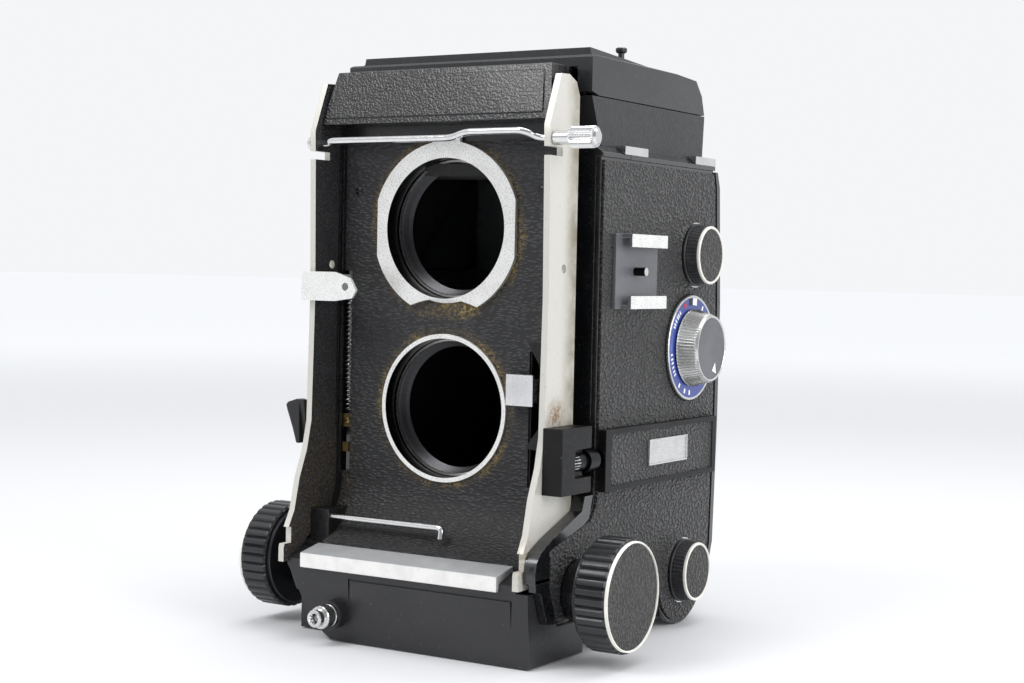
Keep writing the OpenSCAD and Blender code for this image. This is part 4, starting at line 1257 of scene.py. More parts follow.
# ------------------------------------------------------------ sub-assemblies
@dataclass
class Housing:
    """Fixed body: shell, side covers, leatherette, shoe, scale strip and lugs."""

    strip_face: float = 45.1
    shoe_z: float = 104.1
    label_lo: float = -1.1
    label_hi: float = 23.0
    label_z: float = 53.0
    well_half: float = 38.0
    well_y: tuple[float, float] = (-27.5, 47.0)
    well_z: tuple[float, float] = (8.9, 134.8)

    def shell_finish(self, centre: Vector, normal: Vector) -> Finish:
        """Chooses matt paint inside the chambers and enamel outside.

        Args:
            centre: Middle of the face, in millimetres.
            normal: Direction that the face looks in.

        Returns:
            Finish of the face.
        """
        inside = (
            abs(centre.x) < self.well_half
            and self.well_y[0] < centre.y < self.well_y[1]
            and self.well_z[0] < centre.z < self.well_z[1]
        )
        return MATT if inside else COVER

    def shoe_finish(self, centre: Vector, normal: Vector) -> Finish:
        """Chooses the rail, base plate or pin finish of the accessory shoe.

        Args:
            centre: Middle of the face, in millimetres.
            normal: Direction that the face looks in.

        Returns:
            Finish of the face.
        """
        if abs(centre.z - self.shoe_z) < 2 and centre.x > HALF_W + 1.05:
            return CHROME if centre.x > HALF_W + 4.3 else BLUED
        if centre.x < HALF_W + 1.05 or abs(normal.y) > 0.8:
            return FACE_GREY
        return BRIGHT_RAIL

    def strip_finish(self, centre: Vector, normal: Vector) -> Finish:
        """Chooses leatherette in the sunk face of the scale strip, enamel round it.

        Args:
            centre: Middle of the face, in millimetres.
            normal: Direction that the face looks in.

        Returns:
            Finish of the face.
        """
        if abs(centre.x - self.strip_face) < 0.03 and normal.x > 0.9:
            return BODY_LEATHER
        return BLOCK

    def build(self) -> None:
        """Builds the carried parts and the small pieces on them."""
        carry("body_shell", COVER, bevel=0.25, choose=self.shell_finish)
        carry("front_box", COVER, bevel=0.25, choose=self.shell_finish)
        for side in ("right", "left"):
            carry(f"side_cover_{side}", COVER, bevel=0.3)
            carry(f"leather_{side}", BODY_LEATHER, bevel=0.12)
        carry("bottom_plate", COVER, bevel=0.3)
        carry("viewing_mirror", MIRROR, bevel=0.1)
        carry("focusing_screen", SCREEN, bevel=0.2)
        carry("accessory_shoe", RAIL, bevel=0.15, choose=self.shoe_finish)
        carry("scale_housing", BLOCK, bevel=0.4, choose=self.strip_finish)
        carry("strap_lugs", CHROME, bevel=0.2)
        carry("shaft_bushes", COVER, bevel=0.4)
        carry("counter_window", CLEAR, bevel=0.2)
        carry("light_baffle", MATT, bevel=0.1)
        self.flange()
        self.label()
        self.socket()
        self.screws()

    def flange(self) -> None:
        """Builds the deep front flange of the right cover, which ends in a rounded nose."""
        nose = [
            (-33.6, 43.5), (-35.0, 39.6), (-42.0, 36.9), (-50.6, 33.7), (-56.2, 30.9),
            (-58.3, 28.4), (-58.9, 25.4), (-58.7, 23.0), (-50.4, 23.0), (-51.6, 28.4),
            (-46.4, 31.4), (-36.0, 34.6), (-31.0, 37.4), (-29.2, 43.5),
        ]
        foot = [
            (-58.7, 24.0), (-58.5, 20.9), (-55.8, 20.2), (-52.4, 11.6), (-48.2, 11.2),
            (-50.0, 20.6), (-50.4, 24.0),
        ]
        shape = Shape()
        for corners, x in ((nose, PLATE_OUT + 0.3), (foot, PLATE_OUT + 1.9)):
            flat = [(-z, y) for y, z in corners]
            shape.prism(COVER, Axis.RIGHT, (x, 0, 0), flat, HALF_W - 0.2 - x)
        slotted_head(shape, SMOKED, Axis.FRONT, (42.0, -58.6, 27.0), radius=0.7)
        shape.place(
            "cover_front_flange", "body", slot_of("side_cover_right"), replaces=(), bevel=1.1
        )

    def label(self) -> None:
        """Builds the framed silver window plate of the distance scale."""
        shape = Shape()
        low, high = self.label_z - 3.7, self.label_z + 3.7
        shape.slab(RAIL, (45.1, self.label_lo, low), (45.45, self.label_hi, high))
        shape.border(
            CHROME, 1, (45.4, self.label_lo, low), (45.8, self.label_hi, high), side=0.5, rail=0.5
        )
        shape.place(
            "scale_label_window",
            "body",
            slot_of("scale_label"),
            replaces=["scale_label"],
            bevel=0.08,
        )

    def socket(self) -> None:
        """Builds the threaded tripod bush with its flat steel face."""
        rings = [(0.0, 8.6, 0.0), (0.0, 3.5, 0.0), (0.35, 3.17, 0.0)]
        thread_pitch, depth = 1.27, 7.6
        turns = int(depth / thread_pitch)
        for i in range(turns):
            start = 0.5 + i * thread_pitch
            rings += [(start, 3.17, 0), (start + 0.5, 2.72, 0), (start + 0.75, 2.72, 0)]
        rings += [(7.9, 3.17, 0), (8.0, 5.9, 0), (3.0, 5.9, 0), (3.0, 9.0, 0), (0.4, 9.0, 0)]
        shape = Shape().turned(STEEL, Axis.UP, (0, 0, 0), rings, segments=64, closed=True)
        shape.place("tripod_socket_bush", "body", slot_of("tripod_bush"), replaces=["tripod_bush"])

    def screws(self) -> None:
        """Builds the four slotted screws of the bottom plate."""
        shape = Shape()
        for x in (-31, 31):
            for y in (-16, 8.1):
                slotted_head(shape, STEEL, Axis.DOWN, (x, y, 0.6), radius=1.6)
        shape.place("bottom_screws", "body", slot_of("body_screws"), replaces=["body_screws"])


@dataclass
class Hood:
    """Folding finder hood: frame, lid, three walls, magnifier and its button."""

    magnifier_y: float = 11.2
    magnifier_z: float = 156.8
    inside_half: float = 38.7
    frame_inside: tuple[float, float] = (-27.9, 36.8)
    frame_top: float = 151.0
    lid_inside: tuple[float, float] = (-28.4, 37.6)
    lid_ceiling: float = 162.0
    upright_x: tuple[float, float] = (33.0, 36.2)
    upright_y: float = -18.0

    def frame_finish(self, centre: Vector, normal: Vector) -> Finish:
        """Chooses steel on the uprights and pin, matt inside and wrinkle outside.

        Args:
            centre: Middle of the face, in millimetres.
            normal: Direction that the face looks in.

        Returns:
            Finish of the face.
        """
        beside = self.upright_x[0] < abs(centre.x) < self.upright_x[1]
        if centre.z > self.frame_top + 0.3 or (beside and centre.y < self.upright_y):
            return STEEL
        within = self.frame_inside[0] < centre.y < self.frame_inside[1]
        within = within and centre.z < self.frame_top
        return MATT if abs(centre.x) < self.inside_half and within else HOOD_WRINKLE

    def lid_finish(self, centre: Vector, normal: Vector) -> Finish:
        """Chooses matt paint inside the lid and satin enamel outside.

        Args:
            centre: Middle of the face, in millimetres.
            normal: Direction that the face looks in.

        Returns:
            Finish of the face.
        """
        within = self.lid_inside[0] < centre.y < self.lid_inside[1] and centre.z < self.lid_ceiling
        return MATT if abs(centre.x) < self.inside_half and within else HOOD_TOP

    def build(self) -> None:
        """Builds the hood's carried parts and the turned magnifier lens."""
        carry("hood_frame", HOOD_WRINKLE, bevel=0.4, choose=self.frame_finish)
        carry("hood_lid", HOOD_TOP, bevel=0.7, choose=self.lid_finish)
        for side in ("right", "left", "rear"):
            carry(f"hood_wall_{side}", MATT, bevel=0.15)
        self.magnifier()
        self.button()

    def magnifier(self) -> None:
        """Builds the magnifier's frame plate, its bezel and a domed lens."""
        y, z = self.magnifier_y, self.magnifier_z
        shape = Shape()
        bezel = [
            (-0.8, 15.0, 0), (0.8, 15.0, 0), (0.8, 13.4, 0), (0.3, 13.0, 0), (-0.3, 13.0, 0),
            (-0.8, 13.4, 0),
        ]
        shape.turned(COVER, Axis.UP, (0, y, z), bezel, segments=72, closed=True)
        dome = [(-0.6, 12.95, 0), (0.0, 13.0, 0), (0.35, 11.0, 0), (0.6, 7.5, 0), (0.72, 3.0, 0)]
        shape.turned(CLEAR, Axis.UP, (0, y, z), dome, segments=72)
        shape.prism(
            COVER,
            Axis.UP,
            (0, 0, z - 0.7),
            [
                (-14, y - 19), (14, y - 19), (14, y - 8), (10.5, y - 10.6), (-10.5, y - 10.6),
                (-14, y - 8),
            ],
            1.4,
        )
        shape.turned(
            STEEL, Axis.RIGHT, (-18.8, y - 19, z), [(0, 0.8, 0), (37.6, 0.8, 0)], segments=24
        )
        shape.place(
            "magnifier_lens", "magnifier", slot_of("magnifier"), replaces=["magnifier"], bevel=0.1
        )

    def button(self) -> None:
        """Builds the waisted button on the lid."""
        profile = [
            (-5.6, 0.9, 0), (1.6, 0.9, 0), (1.9, 1.5, 0), (2.3, 1.65, 0), (3.0, 1.65, 0),
            (3.25, 1.3, 0),
        ]
        shape = Shape().turned(KNOB, Axis.UP, (32, 2, 164.7), profile, segments=32)
        shape.place("hood_button_cap", "button", slot_of("hood_button"), replaces=["hood_button"])


@dataclass
class Standard:
    """Sliding front standard: lens panel, mounts, plates, cap, sill and tray."""

    bore_r: float = 19.4
    wall: float = 1.3
    slot_x: float = -34.4
    tab_x: float = 29.8

    def ring_finish(self, height: float) -> Chooser:
        """Makes a chooser that darkens the inside of a mount ring at a height.

        Args:
            height: Height of the ring's axis, in millimetres.

        Returns:
            A function from a face's centre and normal to its finish.
        """

        def choose(centre: Vector, normal: Vector) -> Finish:
            """Returns the barrel finish for faces that look at the ring's axis."""
            inward = normal.x * centre.x + normal.z * (centre.z - height) < -0.1
            return SMOKED if inward and abs(normal.y) < 0.5 else RING_METAL

        return choose

    def plate_finish(self, centre: Vector, normal: Vector) -> Finish:
        """Returns panel leather on a side plate's inner face, lacquer elsewhere."""
        return PANEL_LEATHER if centre.x * normal.x < -10 else PLATE

    def sill_finish(self, centre: Vector, normal: Vector) -> Finish:
        """Returns a greyer brushed finish, painted shade, on the sill's top."""
        # Faces that look up take the darker copy: painted shade on the sill's top
        return SILL_TOP_PAINTED_SHADE if normal.z > 0.5 else SILL_METAL

    def build(self) -> None:
        """Builds the carried parts of the standard and the pieces on it."""
        carry("lens_panel", CASTING, bevel=0.2)
        carry("panel_leather", PANEL_LEATHER, bevel=0.12)
        carry("viewing_ring", RING_METAL, bevel=0.2, choose=self.ring_finish(VIEWING_Z))
        carry("taking_ring", RING_METAL, bevel=0.12, choose=self.ring_finish(TAKING_Z))
        carry("side_plate_right", PLATE, bevel=0.45, choose=self.plate_finish)
        carry("side_plate_left", PLATE, bevel=0.45, choose=self.plate_finish)
        carry("name_cap", CAP_PEBBLE, bevel=0.5)
        carry("sill", SILL_METAL, bevel=0.3, choose=self.sill_finish)
        carry("base_tray", TRAY, bevel=0.35)
        carry("racks", STEEL, bevel=0.06)
        carry("scale_block", BLOCK, bevel=1.0)
        carry("cocking_lever", BRIGHT_RAIL, bevel=0.2)
        carry("release_tab", CHROME, bevel=0.15)
        for height in (TAKING_Z, VIEWING_Z):
            self.throat(height)
        self.panel_trim()
        self.slot_guides()

    def throat(self, height: float) -> None:
        """Builds the stepped and threaded barrel behind one mount ring.

        Args:
            height: Height of the lens axis, in millimetres.
        """
        name = "taking" if height < 90 else "viewing"
        outer, depth = self.bore_r + self.wall - 0.1, 3.4
        start = 4.4
        rings = [
            (start, outer, 0), (start, self.bore_r - 0.6, 0), (start + 0.25, self.bore_r - 0.9, 0),
        ]
        step = 0.5
        for i in range(int(depth / step)):
            at = start + 0.3 + i * step
            rings += [(at, self.bore_r - 0.9, 0), (at + 0.25, self.bore_r - 1.35, 0)]
        rings += [
            (start + depth + 0.2, self.bore_r - 2.3, 0),
            (start + depth + 0.8, self.bore_r - 2.3, 0),
        ]
        rings += [(start + depth + 0.8, outer, 0)]
        shape = Shape().turned(
            SMOKED, Axis.BACK, (0, PANEL_Y, height), rings, segments=96, closed=True
        )
        slotted = [
            (4.25, self.bore_r - 0.15, 0), (4.25, self.bore_r - 0.75, 0),
            (4.5, self.bore_r - 0.8, 0), (4.5, self.bore_r - 0.1, 0),
        ]
        shape.turned(STEEL, Axis.BACK, (0, PANEL_Y, height), slotted, segments=96, closed=True)
        shape.place(f"{name}_throat", "standard", "black_casting")

    def panel_trim(self) -> None:
        """Builds the screws, guide ribs and dark wedge slots of the lens panel."""
        shape = Shape()
        for x, z in ((30.4, 125.4), (-30.4, 125.4)):
            slotted_head(shape, SMOKED, Axis.FRONT, (x, PANEL_Y, z), radius=1.2)
        shape.place(
            "panel_screw_heads", "standard", slot_of("panel_screws"), replaces=["panel_screws"]
        )
        trim = Shape()
        for x in (-37.2, -36.1):
            trim.slab(CASTING, (x, PANEL_Y - 0.1, 58), (x + 0.45, PANEL_Y + 0.7, 138))
        base = (0, PANEL_Y + 0.3, 0)
        front = self.tab_x + 1.6
        trim.prism(
            MATT, Axis.FRONT, base, [(front, 77.4), (front, 84.5), (front - 4.2, 84.2)], 0.42
        )
        trim.prism(
            MATT, Axis.FRONT, base, [(front, 61.8), (front - 4.6, 55.6), (front, 55.2)], 0.42
        )
        trim.place("panel_wedges", "standard", "black_casting")

    def slot_guides(self) -> None:
        """Builds the brass guide pieces that sit low in the cocking slot."""
        shape = Shape()
        x = self.slot_x
        shape.slab(BRASS, (x - 1.1, PANEL_Y + 1.2, 57.6), (x + 1.1, PANEL_Y + 2.2, 61.4))
        shape.slab(BRASS, (x - 1.2, PANEL_Y + 1.0, 50.4), (x + 0.9, PANEL_Y + 2.2, 53.2))
        slotted_head(shape, BRASS, Axis.FRONT, (x, PANEL_Y + 1.2, 59.4), radius=0.9)
        shape.place("slot_guides", "standard", "bright_steel")


@dataclass
class Bellows:
    """Pleated cloth bellows between the body and the lens panel."""

    front: float = -34.15
    back: float = -12.25
    half: float = 33.9
    low: float = 28.1
    high: float = 133.2
    folds: int = 16
    fold_depth: float = 3.0
    corner: float = 5.0
    cloth: float = 0.35

    def section(self, inset: float) -> list[tuple[float, float]]:
        """Works out the section's corners, cut across, drawn in by an inset.

        Args:
            inset: Distance from the outer section.

        Returns:
            The eight corners across and up, in millimetres.
        """
        h, lo, hi, c = self.half - inset, self.low + inset, self.high - inset, self.corner
        return [
            (h, lo + c), (h, hi - c), (h - c, hi), (c - h, hi), (-h, hi - c), (-h, lo + c),
            (c - h, lo), (h - c, lo),
        ]

    def build(self) -> None:
        """Builds the pleats as one closed sheet."""
        shape = Shape()
        count = 2 * self.folds
        for_out, for_in = [], []
        for i in range(count + 1):
            y = self.front + (self.back - self.front) * i / count
            inset = self.fold_depth * (i % 2)
            for store, extra in ((for_out, 0.0), (for_in, self.cloth)):
                store.append(
                    [shape.bm.verts.new(mm(x, y, z)) for x, z in self.section(inset + extra)]
                )
        sheets = for_out + for_in[::-1]
        for low, high in zip(sheets, sheets[1:] + sheets[:1]):
            shape.band(low, high, CLOTH)
        made = shape.place(
            "bellows_pleats", "", slot_of("bellows"), replaces=["bellows"], bevel=0.0, sharp=80.0
        )
        middle = (self.low + self.high) / 2
        tuple(mm(0, self.back, middle))
        tuple(mm(0, self.front, middle))
        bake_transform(made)


@dataclass
class Wires:
    """Sprung wires, levers and buttons on the standard, each on its own body."""

    wire_r: float = 0.95
    wire_y: float = -47.0
    wire_z: float = 138.6
    spring_x: float = -34.4
    release_x: float = -21.5
    release_z: float = 7.8

    def build(self) -> None:
        """Builds every wire and control."""
        self.lock_wire()
        self.lock_knob()
        self.interlock()
        self.spring()
        self.release()
        self.side_release()
        carry("scale_bar", BLUED, bevel=0.12)
        self.scale_wheel()

    def smooth_path(self, corners: Sequence[Point], radius: float) -> list[Point]:
        """Rounds the corners of a line of points.

        Args:
            corners: The bends, in millimetres.
            radius: Distance from a bend at which the line starts to turn.

        Returns:
            Points close enough together for a swept wire.
        """
        line = [Vector(corners[0])]
        for before, at, after in zip(corners, corners[1:], corners[2:]):
            a, b, c = Vector(before), Vector(at), Vector(after)
            start = b + (a - b).normalized() * min(radius, (a - b).length * 0.45)
            end = b + (c - b).normalized() * min(radius, (c - b).length * 0.45)
            for i in range(7):
                t = i / 6
                line.append(start.lerp(b, t).lerp(b.lerp(end, t), t))
        line.append(Vector(corners[-1]))
        return [tuple(p) for p in line]

    def lock_wire(self) -> None:
        """Builds the bent wire that holds the lens board, with its pivot ends."""
        y, front, z = self.wire_y, self.wire_y - 3.0, self.wire_z
        corners = [
            (-PLATE_OUT - 1.2, y, z),
            (-PLATE_IN + 3, y, z),
            (-PLATE_IN + 5.5, front, z + 0.4),
            (9, front, z + 0.4),
            (13.4, front, z + 1.9),
            (PLATE_IN - 6, front, z + 1.9),
            (PLATE_IN - 3, y, z),
            (HALF_W + 8, y, z),
        ]
        shape = Shape().swept(CHROME, self.smooth_path(corners, 2.2), self.wire_r, sides=16)
        collar = [(-0.1, 1.5, 0), (0.1, 1.95, 0), (1.1, 1.95, 0), (1.3, 1.5, 0)]
        shape.turned(CHROME, Axis.RIGHT, (-PLATE_OUT - 1.6, y, z), collar, segments=32)
        shape.place("lock_wire_bent", "wire", slot_of("lock_wire"), replaces=["lock_wire"])

    def lock_knob(self) -> None:
        """Builds the straight-knurled chrome knob on the wire's end."""
        x = HALF_W + 0.9
        body = [
            (0.0, 2.3, 0), (0.35, 2.75, 0), (0.6, 2.9, 1), (7.0, 2.9, 1), (7.4, 2.7, 0),
            (7.5, 2.2, 0), (8.1, 1.7, 0), (8.1, 0.5, 0),
        ]
        shape = Shape().turned(
            CHROME,
            Axis.RIGHT,
            (x, self.wire_y, self.wire_z),
            body,
            segments=192,
            groove=flutes(count=32, depth=0.28),
        )
        neck = [(0, 1.9, 0), (HALF_W + 0.9 - PLATE_OUT - 0.2, 1.9, 0)]
        shape.turned(
            CHROME, Axis.RIGHT, (PLATE_OUT + 0.3, self.wire_y, self.wire_z), neck, segments=32
        )
        shape.place("lock_knob_knurled", "wire", slot_of("lock_knob"), replaces=["lock_knob"])

    def interlock(self) -> None:
        """Builds the low wire that guards the lens change."""
        y, z = PANEL_Y - 9.5, TAKING_Z - 32
        corners = [(-PLATE_IN + 2.4, y, z), (6.6, y, z), (6.6, y - 0.6, z - 3)]
        shape = Shape().swept(CHROME, self.smooth_path(corners, 1.4), self.wire_r, sides=16)
        shape.place(
            "interlock_wire_bent",
            "interlock",
            slot_of("interlock_wire"),
            replaces=["interlock_wire"],
        )

    def spring(self) -> None:
        """Builds the coil spring that stretches between the panel and the lever."""
        low, high, radius, wire = 62.0, 94.9, 1.05, 0.2
        coils, steps = 26, 12
        points = []
        for i in range(coils * steps + 1):
            angle = 2 * math.pi * i / steps
            height = low + (high - low) * i / (coils * steps)
            points.append(
                (
                    self.spring_x + radius * math.cos(angle),
                    PANEL_Y + 2.1 + radius * math.sin(angle), height,
                ),
            )
        made = Shape().swept(STEEL, points, wire, sides=6).place(
            "cocking_coil", "", slot_of("cocking_spring"), replaces=["cocking_spring"]
        )
        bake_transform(made)

    def release(self) -> None:
        """Builds the shutter button: collar, shouldered tip and cable thread."""
        shape = Shape()
        base = (self.release_x, PANEL_Y - 18, self.release_z)
        profile = [
            (0.0, 3.15, 0), (5.1, 3.15, 0), (5.3, 2.95, 0), (5.6, 2.95, 0), (5.8, 3.2, 0),
            (8.6, 3.2, 0), (8.9, 3.0, 0), (9.0, 2.5, 0), (9.3, 2.2, 0), (9.5, 2.4, 0),
            (11.1, 2.4, 0), (11.4, 2.15, 0), (11.5, 1.55, 0), (11.2, 1.35, 0), (8.5, 1.0, 0),
            (8.4, 0.2, 0),
        ]
        shape.turned(CHROME, Axis.FRONT, base, profile, segments=64)
        shape.place(
            "release_button_tip", "release", slot_of("release_button"), replaces=["release_button"]
        )

    def side_release(self) -> None:
        """Builds the side lever: pivot, arm and a fin that curves out to the thumb."""
        y, z = RIM_Y + 12, TAKING_Z - 6
        shape = Shape().turned(
            RUBBERY, Axis.LEFT, (-HALF_W + 1.8, y, z), [(0, 2.0, 0), (3.8, 2.0, 0)], segments=32
        )
        arm = [
            (z - 4, y - 4), (z - 4, y + 4), (z + 3, y + 5), (z + 5, y - 6), (z + 6.4, -45.0),
            (z - 6.4, -43.0),
        ]
        shape.prism(RUBBERY, Axis.LEFT, (-HALF_W - 0.3, 0, 0), arm[::-1], 2.0)
        fin = [
            (-45.3, 6.4), (-46.6, 6.4), (-49.7, 5.4), (-50.4, 4.6), (-49.8, 2.8), (-48.9, 0.6),
            (-47.9, -2.0), (-47.1, -4.4), (-46.5, -6.4), (-45.3, -6.4),
        ]
        shape.prism(RUBBERY, Axis.BACK, (0, -45.0, 0), [(x, -z - rise) for x, rise in fin], 3.2)
        shape.place(
            "side_release_fin",
            "side_lever",
            slot_of("side_release"),
            replaces=["side_release"],
            bevel=0.4,
        )

    def scale_wheel(self) -> None:
        """Builds the knurled wheel that shows through the scale block's notch."""
        x, z = PLATE_OUT + 2.62, TAKING_Z - 12
        wheel = [
            (0.0, 2.2, 0), (0.2, 2.55, 1), (2.2, 2.55, 1), (2.4, 2.3, 0), (2.6, 2.55, 1),
            (4.7, 2.55, 1), (4.9, 2.2, 0),
        ]
        shape = Shape().turned(
            CHROME,
            Axis.BACK,
            (x, PANEL_Y - 4.9, z),
            wheel,
            segments=144,
            groove=flutes(count=18, depth=0.22),
        )
        shape.place("scale_wheel_knurled", "bar", slot_of("scale_bar"))


@dataclass
class Knobs:
    """Round controls on both sides: focusing, spool, selector knobs and dial."""

    shaft_y: float = -37.7
    shaft_z: float = 18.9
    focus_x: float = 50.0
    focus_r: float = 15.3
    focus_len: float = 10.9
    selector_y: float = 27.0
    selector_z: float = 82.0
    pointer_degrees: float = -22.0
    spool_places: tuple[tuple[str, float, float], ...] = (
        ("upper", 29.6, 109.4),
        ("lower", 25.6, 16.0),
    )

    def build(self) -> None:
        """Builds every knob, the dial and the shafts that carry them."""
        self.focusing()
        for which, y, z in self.spool_places:
            self.spool(which, y, z)
        self.selector()
        self.dial()

    def focusing(self) -> None:
        """Builds the pair of broad-ribbed focusing knobs with leather faces."""
        shape, faces, shaft = Shape(), Shape(), Shape()
        r, end = self.focus_r, self.focus_len
        grip = flutes(count=36, depth=0.75, sharpness=4.0)
        body = [
            (0.0, 3.0, 0), (0.0, r - 1.6, 0), (0.25, r - 1.4, 0), (1.0, r - 1.4, 0),
            (1.05, r - 0.6, 0), (1.5, r - 0.1, 1), (1.8, r, 1), (9.2, r, 1), (9.6, r - 0.15, 1),
            (9.9, r - 0.6, 0), (10.1, r - 0.75, 0), (10.1, 3.0, 0),
        ]
        white = [
            (10.0, r - 0.7, 0), (end - 0.25, r - 0.7, 0), (end, r - 0.85, 0), (end, r - 1.1, 0),
            (end - 0.35, r - 1.25, 0), (10.0, r - 1.25, 0),
        ]
        for axis, sign in ((Axis.RIGHT, 1), (Axis.LEFT, -1)):
            at = (sign * self.focus_x, self.shaft_y, self.shaft_z)
            shape.turned(KNOB, axis, at, body, segments=432, groove=grip)
            faces.turned(RING_WHITE, axis, at, white, segments=128, closed=True)
            disc = [
                (9.9, r - 1.2, 0), (end - 0.45, r - 1.2, 0), (end - 0.3, r - 1.5, 0),
                (end - 0.3, 1.0, 0),
            ]
            faces.turned(FACE_LEATHER, axis, at, disc, segments=128)
        shape.place(
            "focus_knob_grips",
            "focus",
            slot_of("focus_knobs"),
            replaces=["focus_knobs"],
            bevel=0.0,
            sharp=24.0,
        )
        faces.place("focus_knob_faces", "focus", slot_of("knob_faces"), replaces=["knob_faces"])
        carry("focus_shaft", STEEL, bevel=0.08)

    def spool(self, which: str, y: float, z: float) -> None:
        """Builds one cross-knurled spool knob with its white ring and face.

        Args:
            which: Upper or lower.
            y: Place of its axis along the camera.
            z: Height of its axis.
        """
        shape = Shape()
        at = (HALF_W, y, z)
        body: list[Ring] = [
            (0.3, 2.5, 0), (0.3, 8.9, 0), (0.5, 9.3, 0), (1.0, 9.3, 0), (1.2, 9.0, 0),
        ]
        rows = 6
        for i in range(rows):
            start = 1.25 + i * 0.52
            radius = 9.0 - 0.45 * i / rows
            body += [(start, radius - 0.25, 0), (start + 0.12, radius, 1), (start + 0.4, radius, 1)]
        body += [(4.45, 8.3, 0), (4.7, 8.45, 0), (4.8, 8.3, 0), (4.8, 2.5, 0)]
        shape.turned(
            KNOB,
            Axis.RIGHT,
            at,
            body,
            segments=288,
            groove=flutes(count=48, depth=0.3, sharpness=0.7),
        )
        white = [
            (4.7, 8.55, 0), (5.25, 8.55, 0), (5.5, 8.35, 0), (5.5, 7.95, 0), (5.25, 7.75, 0),
            (4.7, 7.75, 0),
        ]
        shape.turned(RING_WHITE, Axis.RIGHT, at, white, segments=96, closed=True)
        shape.turned(
            FACE_LEATHER,
            Axis.RIGHT,
            at,
            [(4.6, 7.8, 0), (5.2, 7.8, 0), (5.3, 7.55, 0), (5.3, 0.8, 0)],
            segments=96,
        )
        seat = [(0.02, 9.6, 0), (0.28, 9.6, 0), (0.28, 8.9, 0), (0.02, 8.9, 0)]
        shape.turned(CHROME, Axis.RIGHT, at, seat, segments=96, closed=True)
        shape.turned(
            STEEL,
            Axis.RIGHT,
            (29.6, y, z),
            [(0, 2.2, 0), (0.4, 2.5, 0), (14.9, 2.5, 0)],
            segments=32,
        )
        node = f"spool_knob_{which}"
        shape.place(
            node + "_knurled",
            f"{which}_knob",
            slot_of(node),
            replaces=[node],
            bevel=0.0,
            sharp=24.0,
        )

    def selector(self) -> None:
        """Builds the fine-ribbed silver selector knob with its grey face."""
        shape = Shape()
        at = (HALF_W, self.selector_y, self.selector_z)
        body = [
            (1.3, 3.0, 0), (1.3, 11.2, 0), (1.5, 11.45, 0.3), (1.8, 11.4, 1), (6.3, 10.15, 1),
            (6.7, 9.95, 0.4), (7.0, 9.75, 0), (7.5, 9.6, 0), (7.5, 9.15, 0), (7.3, 8.95, 0),
            (7.3, 3.0, 0),
        ]
        shape.turned(
            RAIL,
            Axis.RIGHT,
            at,
            body,
            segments=432,
            groove=flutes(count=72, depth=0.32, sharpness=0.8),
        )
        shape.turned(
            FACE_GREY,
            Axis.RIGHT,
            at,
            [(7.2, 9.0, 0), (7.38, 9.0, 0), (7.42, 8.8, 0), (7.42, 0.6, 0)],
            segments=96,
        )
        shape.turned(
            STEEL,
            Axis.RIGHT,
            (36.6, self.selector_y, self.selector_z),
            [(0, 3.0, 0), (8.4, 3.0, 0)],
            segments=48,
        )
        tip = [Vector(corner) for corner in ((-0.1, -8.1), (1.9, -6.3), (-0.7, -4.9))]
        turn = Matrix.Rotation(math.radians(self.pointer_degrees), 2)
        flat = [(-(turn @ corner).y, -(turn @ corner).x) for corner in tip]
        shape.prism(
            MARK_WHITE, Axis.RIGHT, (HALF_W + 7.38, self.selector_y, self.selector_z), flat, 0.08
        )
        shape.place(
            "selector_knob_ribbed",
            "selector",
            slot_of("selector_knob"),
            replaces=["selector_knob"],
            bevel=0.0,
            sharp=24.0,
        )

    def dial(self) -> None:
        """Builds the serrated base, silver rim and blue dial with plain marks."""
        shape = Shape()
        y, z = self.selector_y, self.selector_z
        at = (HALF_W, y, z)
        base = [
            (-0.4, 3.5, 0), (-0.4, 15.7, 0), (-0.2, 15.9, 1), (0.5, 15.9, 1), (0.62, 15.6, 0),
            (0.62, 3.5, 0),
        ]
        shape.turned(
            KNOB,
            Axis.RIGHT,
            at,
            base,
            segments=480,
            groove=flutes(count=80, depth=0.35, sharpness=0.8),
        )
        rim = [
            (0.55, 15.45, 0), (0.95, 15.45, 0), (1.05, 15.3, 0), (1.05, 14.95, 0), (0.95, 14.8, 0),
            (0.55, 14.8, 0),
        ]
        shape.turned(RAIL, Axis.RIGHT, at, rim, segments=128, closed=True)
        shape.turned(
            DIAL_BLUE,
            Axis.RIGHT,
            at,
            [(0.5, 14.9, 0), (0.85, 14.9, 0), (0.88, 14.8, 0), (0.88, 3.5, 0)],
            segments=128,
        )
        for degrees, finish, r0, r1, wide in self.marks():
            self.mark(shape, finish, degrees, r0, r1, wide)
        shape.place(
            "selector_dial_marked",
            "body",
            slot_of("selector_dial"),
            replaces=["selector_dial"],
            bevel=0.0,
            sharp=24.0,
        )

    def marks(self) -> list[tuple[float, Finish, float, float, float]]:
        """Lists the angle, finish, two radii and width of each dial mark.

        Returns:
            One row for each mark.
        """
        rows: list[tuple[float, Finish, float, float, float]] = [
            (96, MARK_BLACK, 12.6, 14.7, 2.0),
            (84, MARK_WHITE, 12.6, 14.7, 2.6),
            (112, MARK_RED, 12.7, 14.1, 1.5),
        ]
        for degrees in (128, 133, 137, 143, 148, 152):
            rows.append((degrees, MARK_WHITE, 12.5, 13.7, 0.5))
        for degrees in (188, 194, 199, 205, 211, 216):
            rows.append((degrees, MARK_WHITE, 12.4, 13.6, 0.5))
        for degrees in (235, 252, 266, 320, 345, 10, 35, 60):
            rows.append((degrees, MARK_WHITE, 12.6, 14.0, 0.8))
        return rows

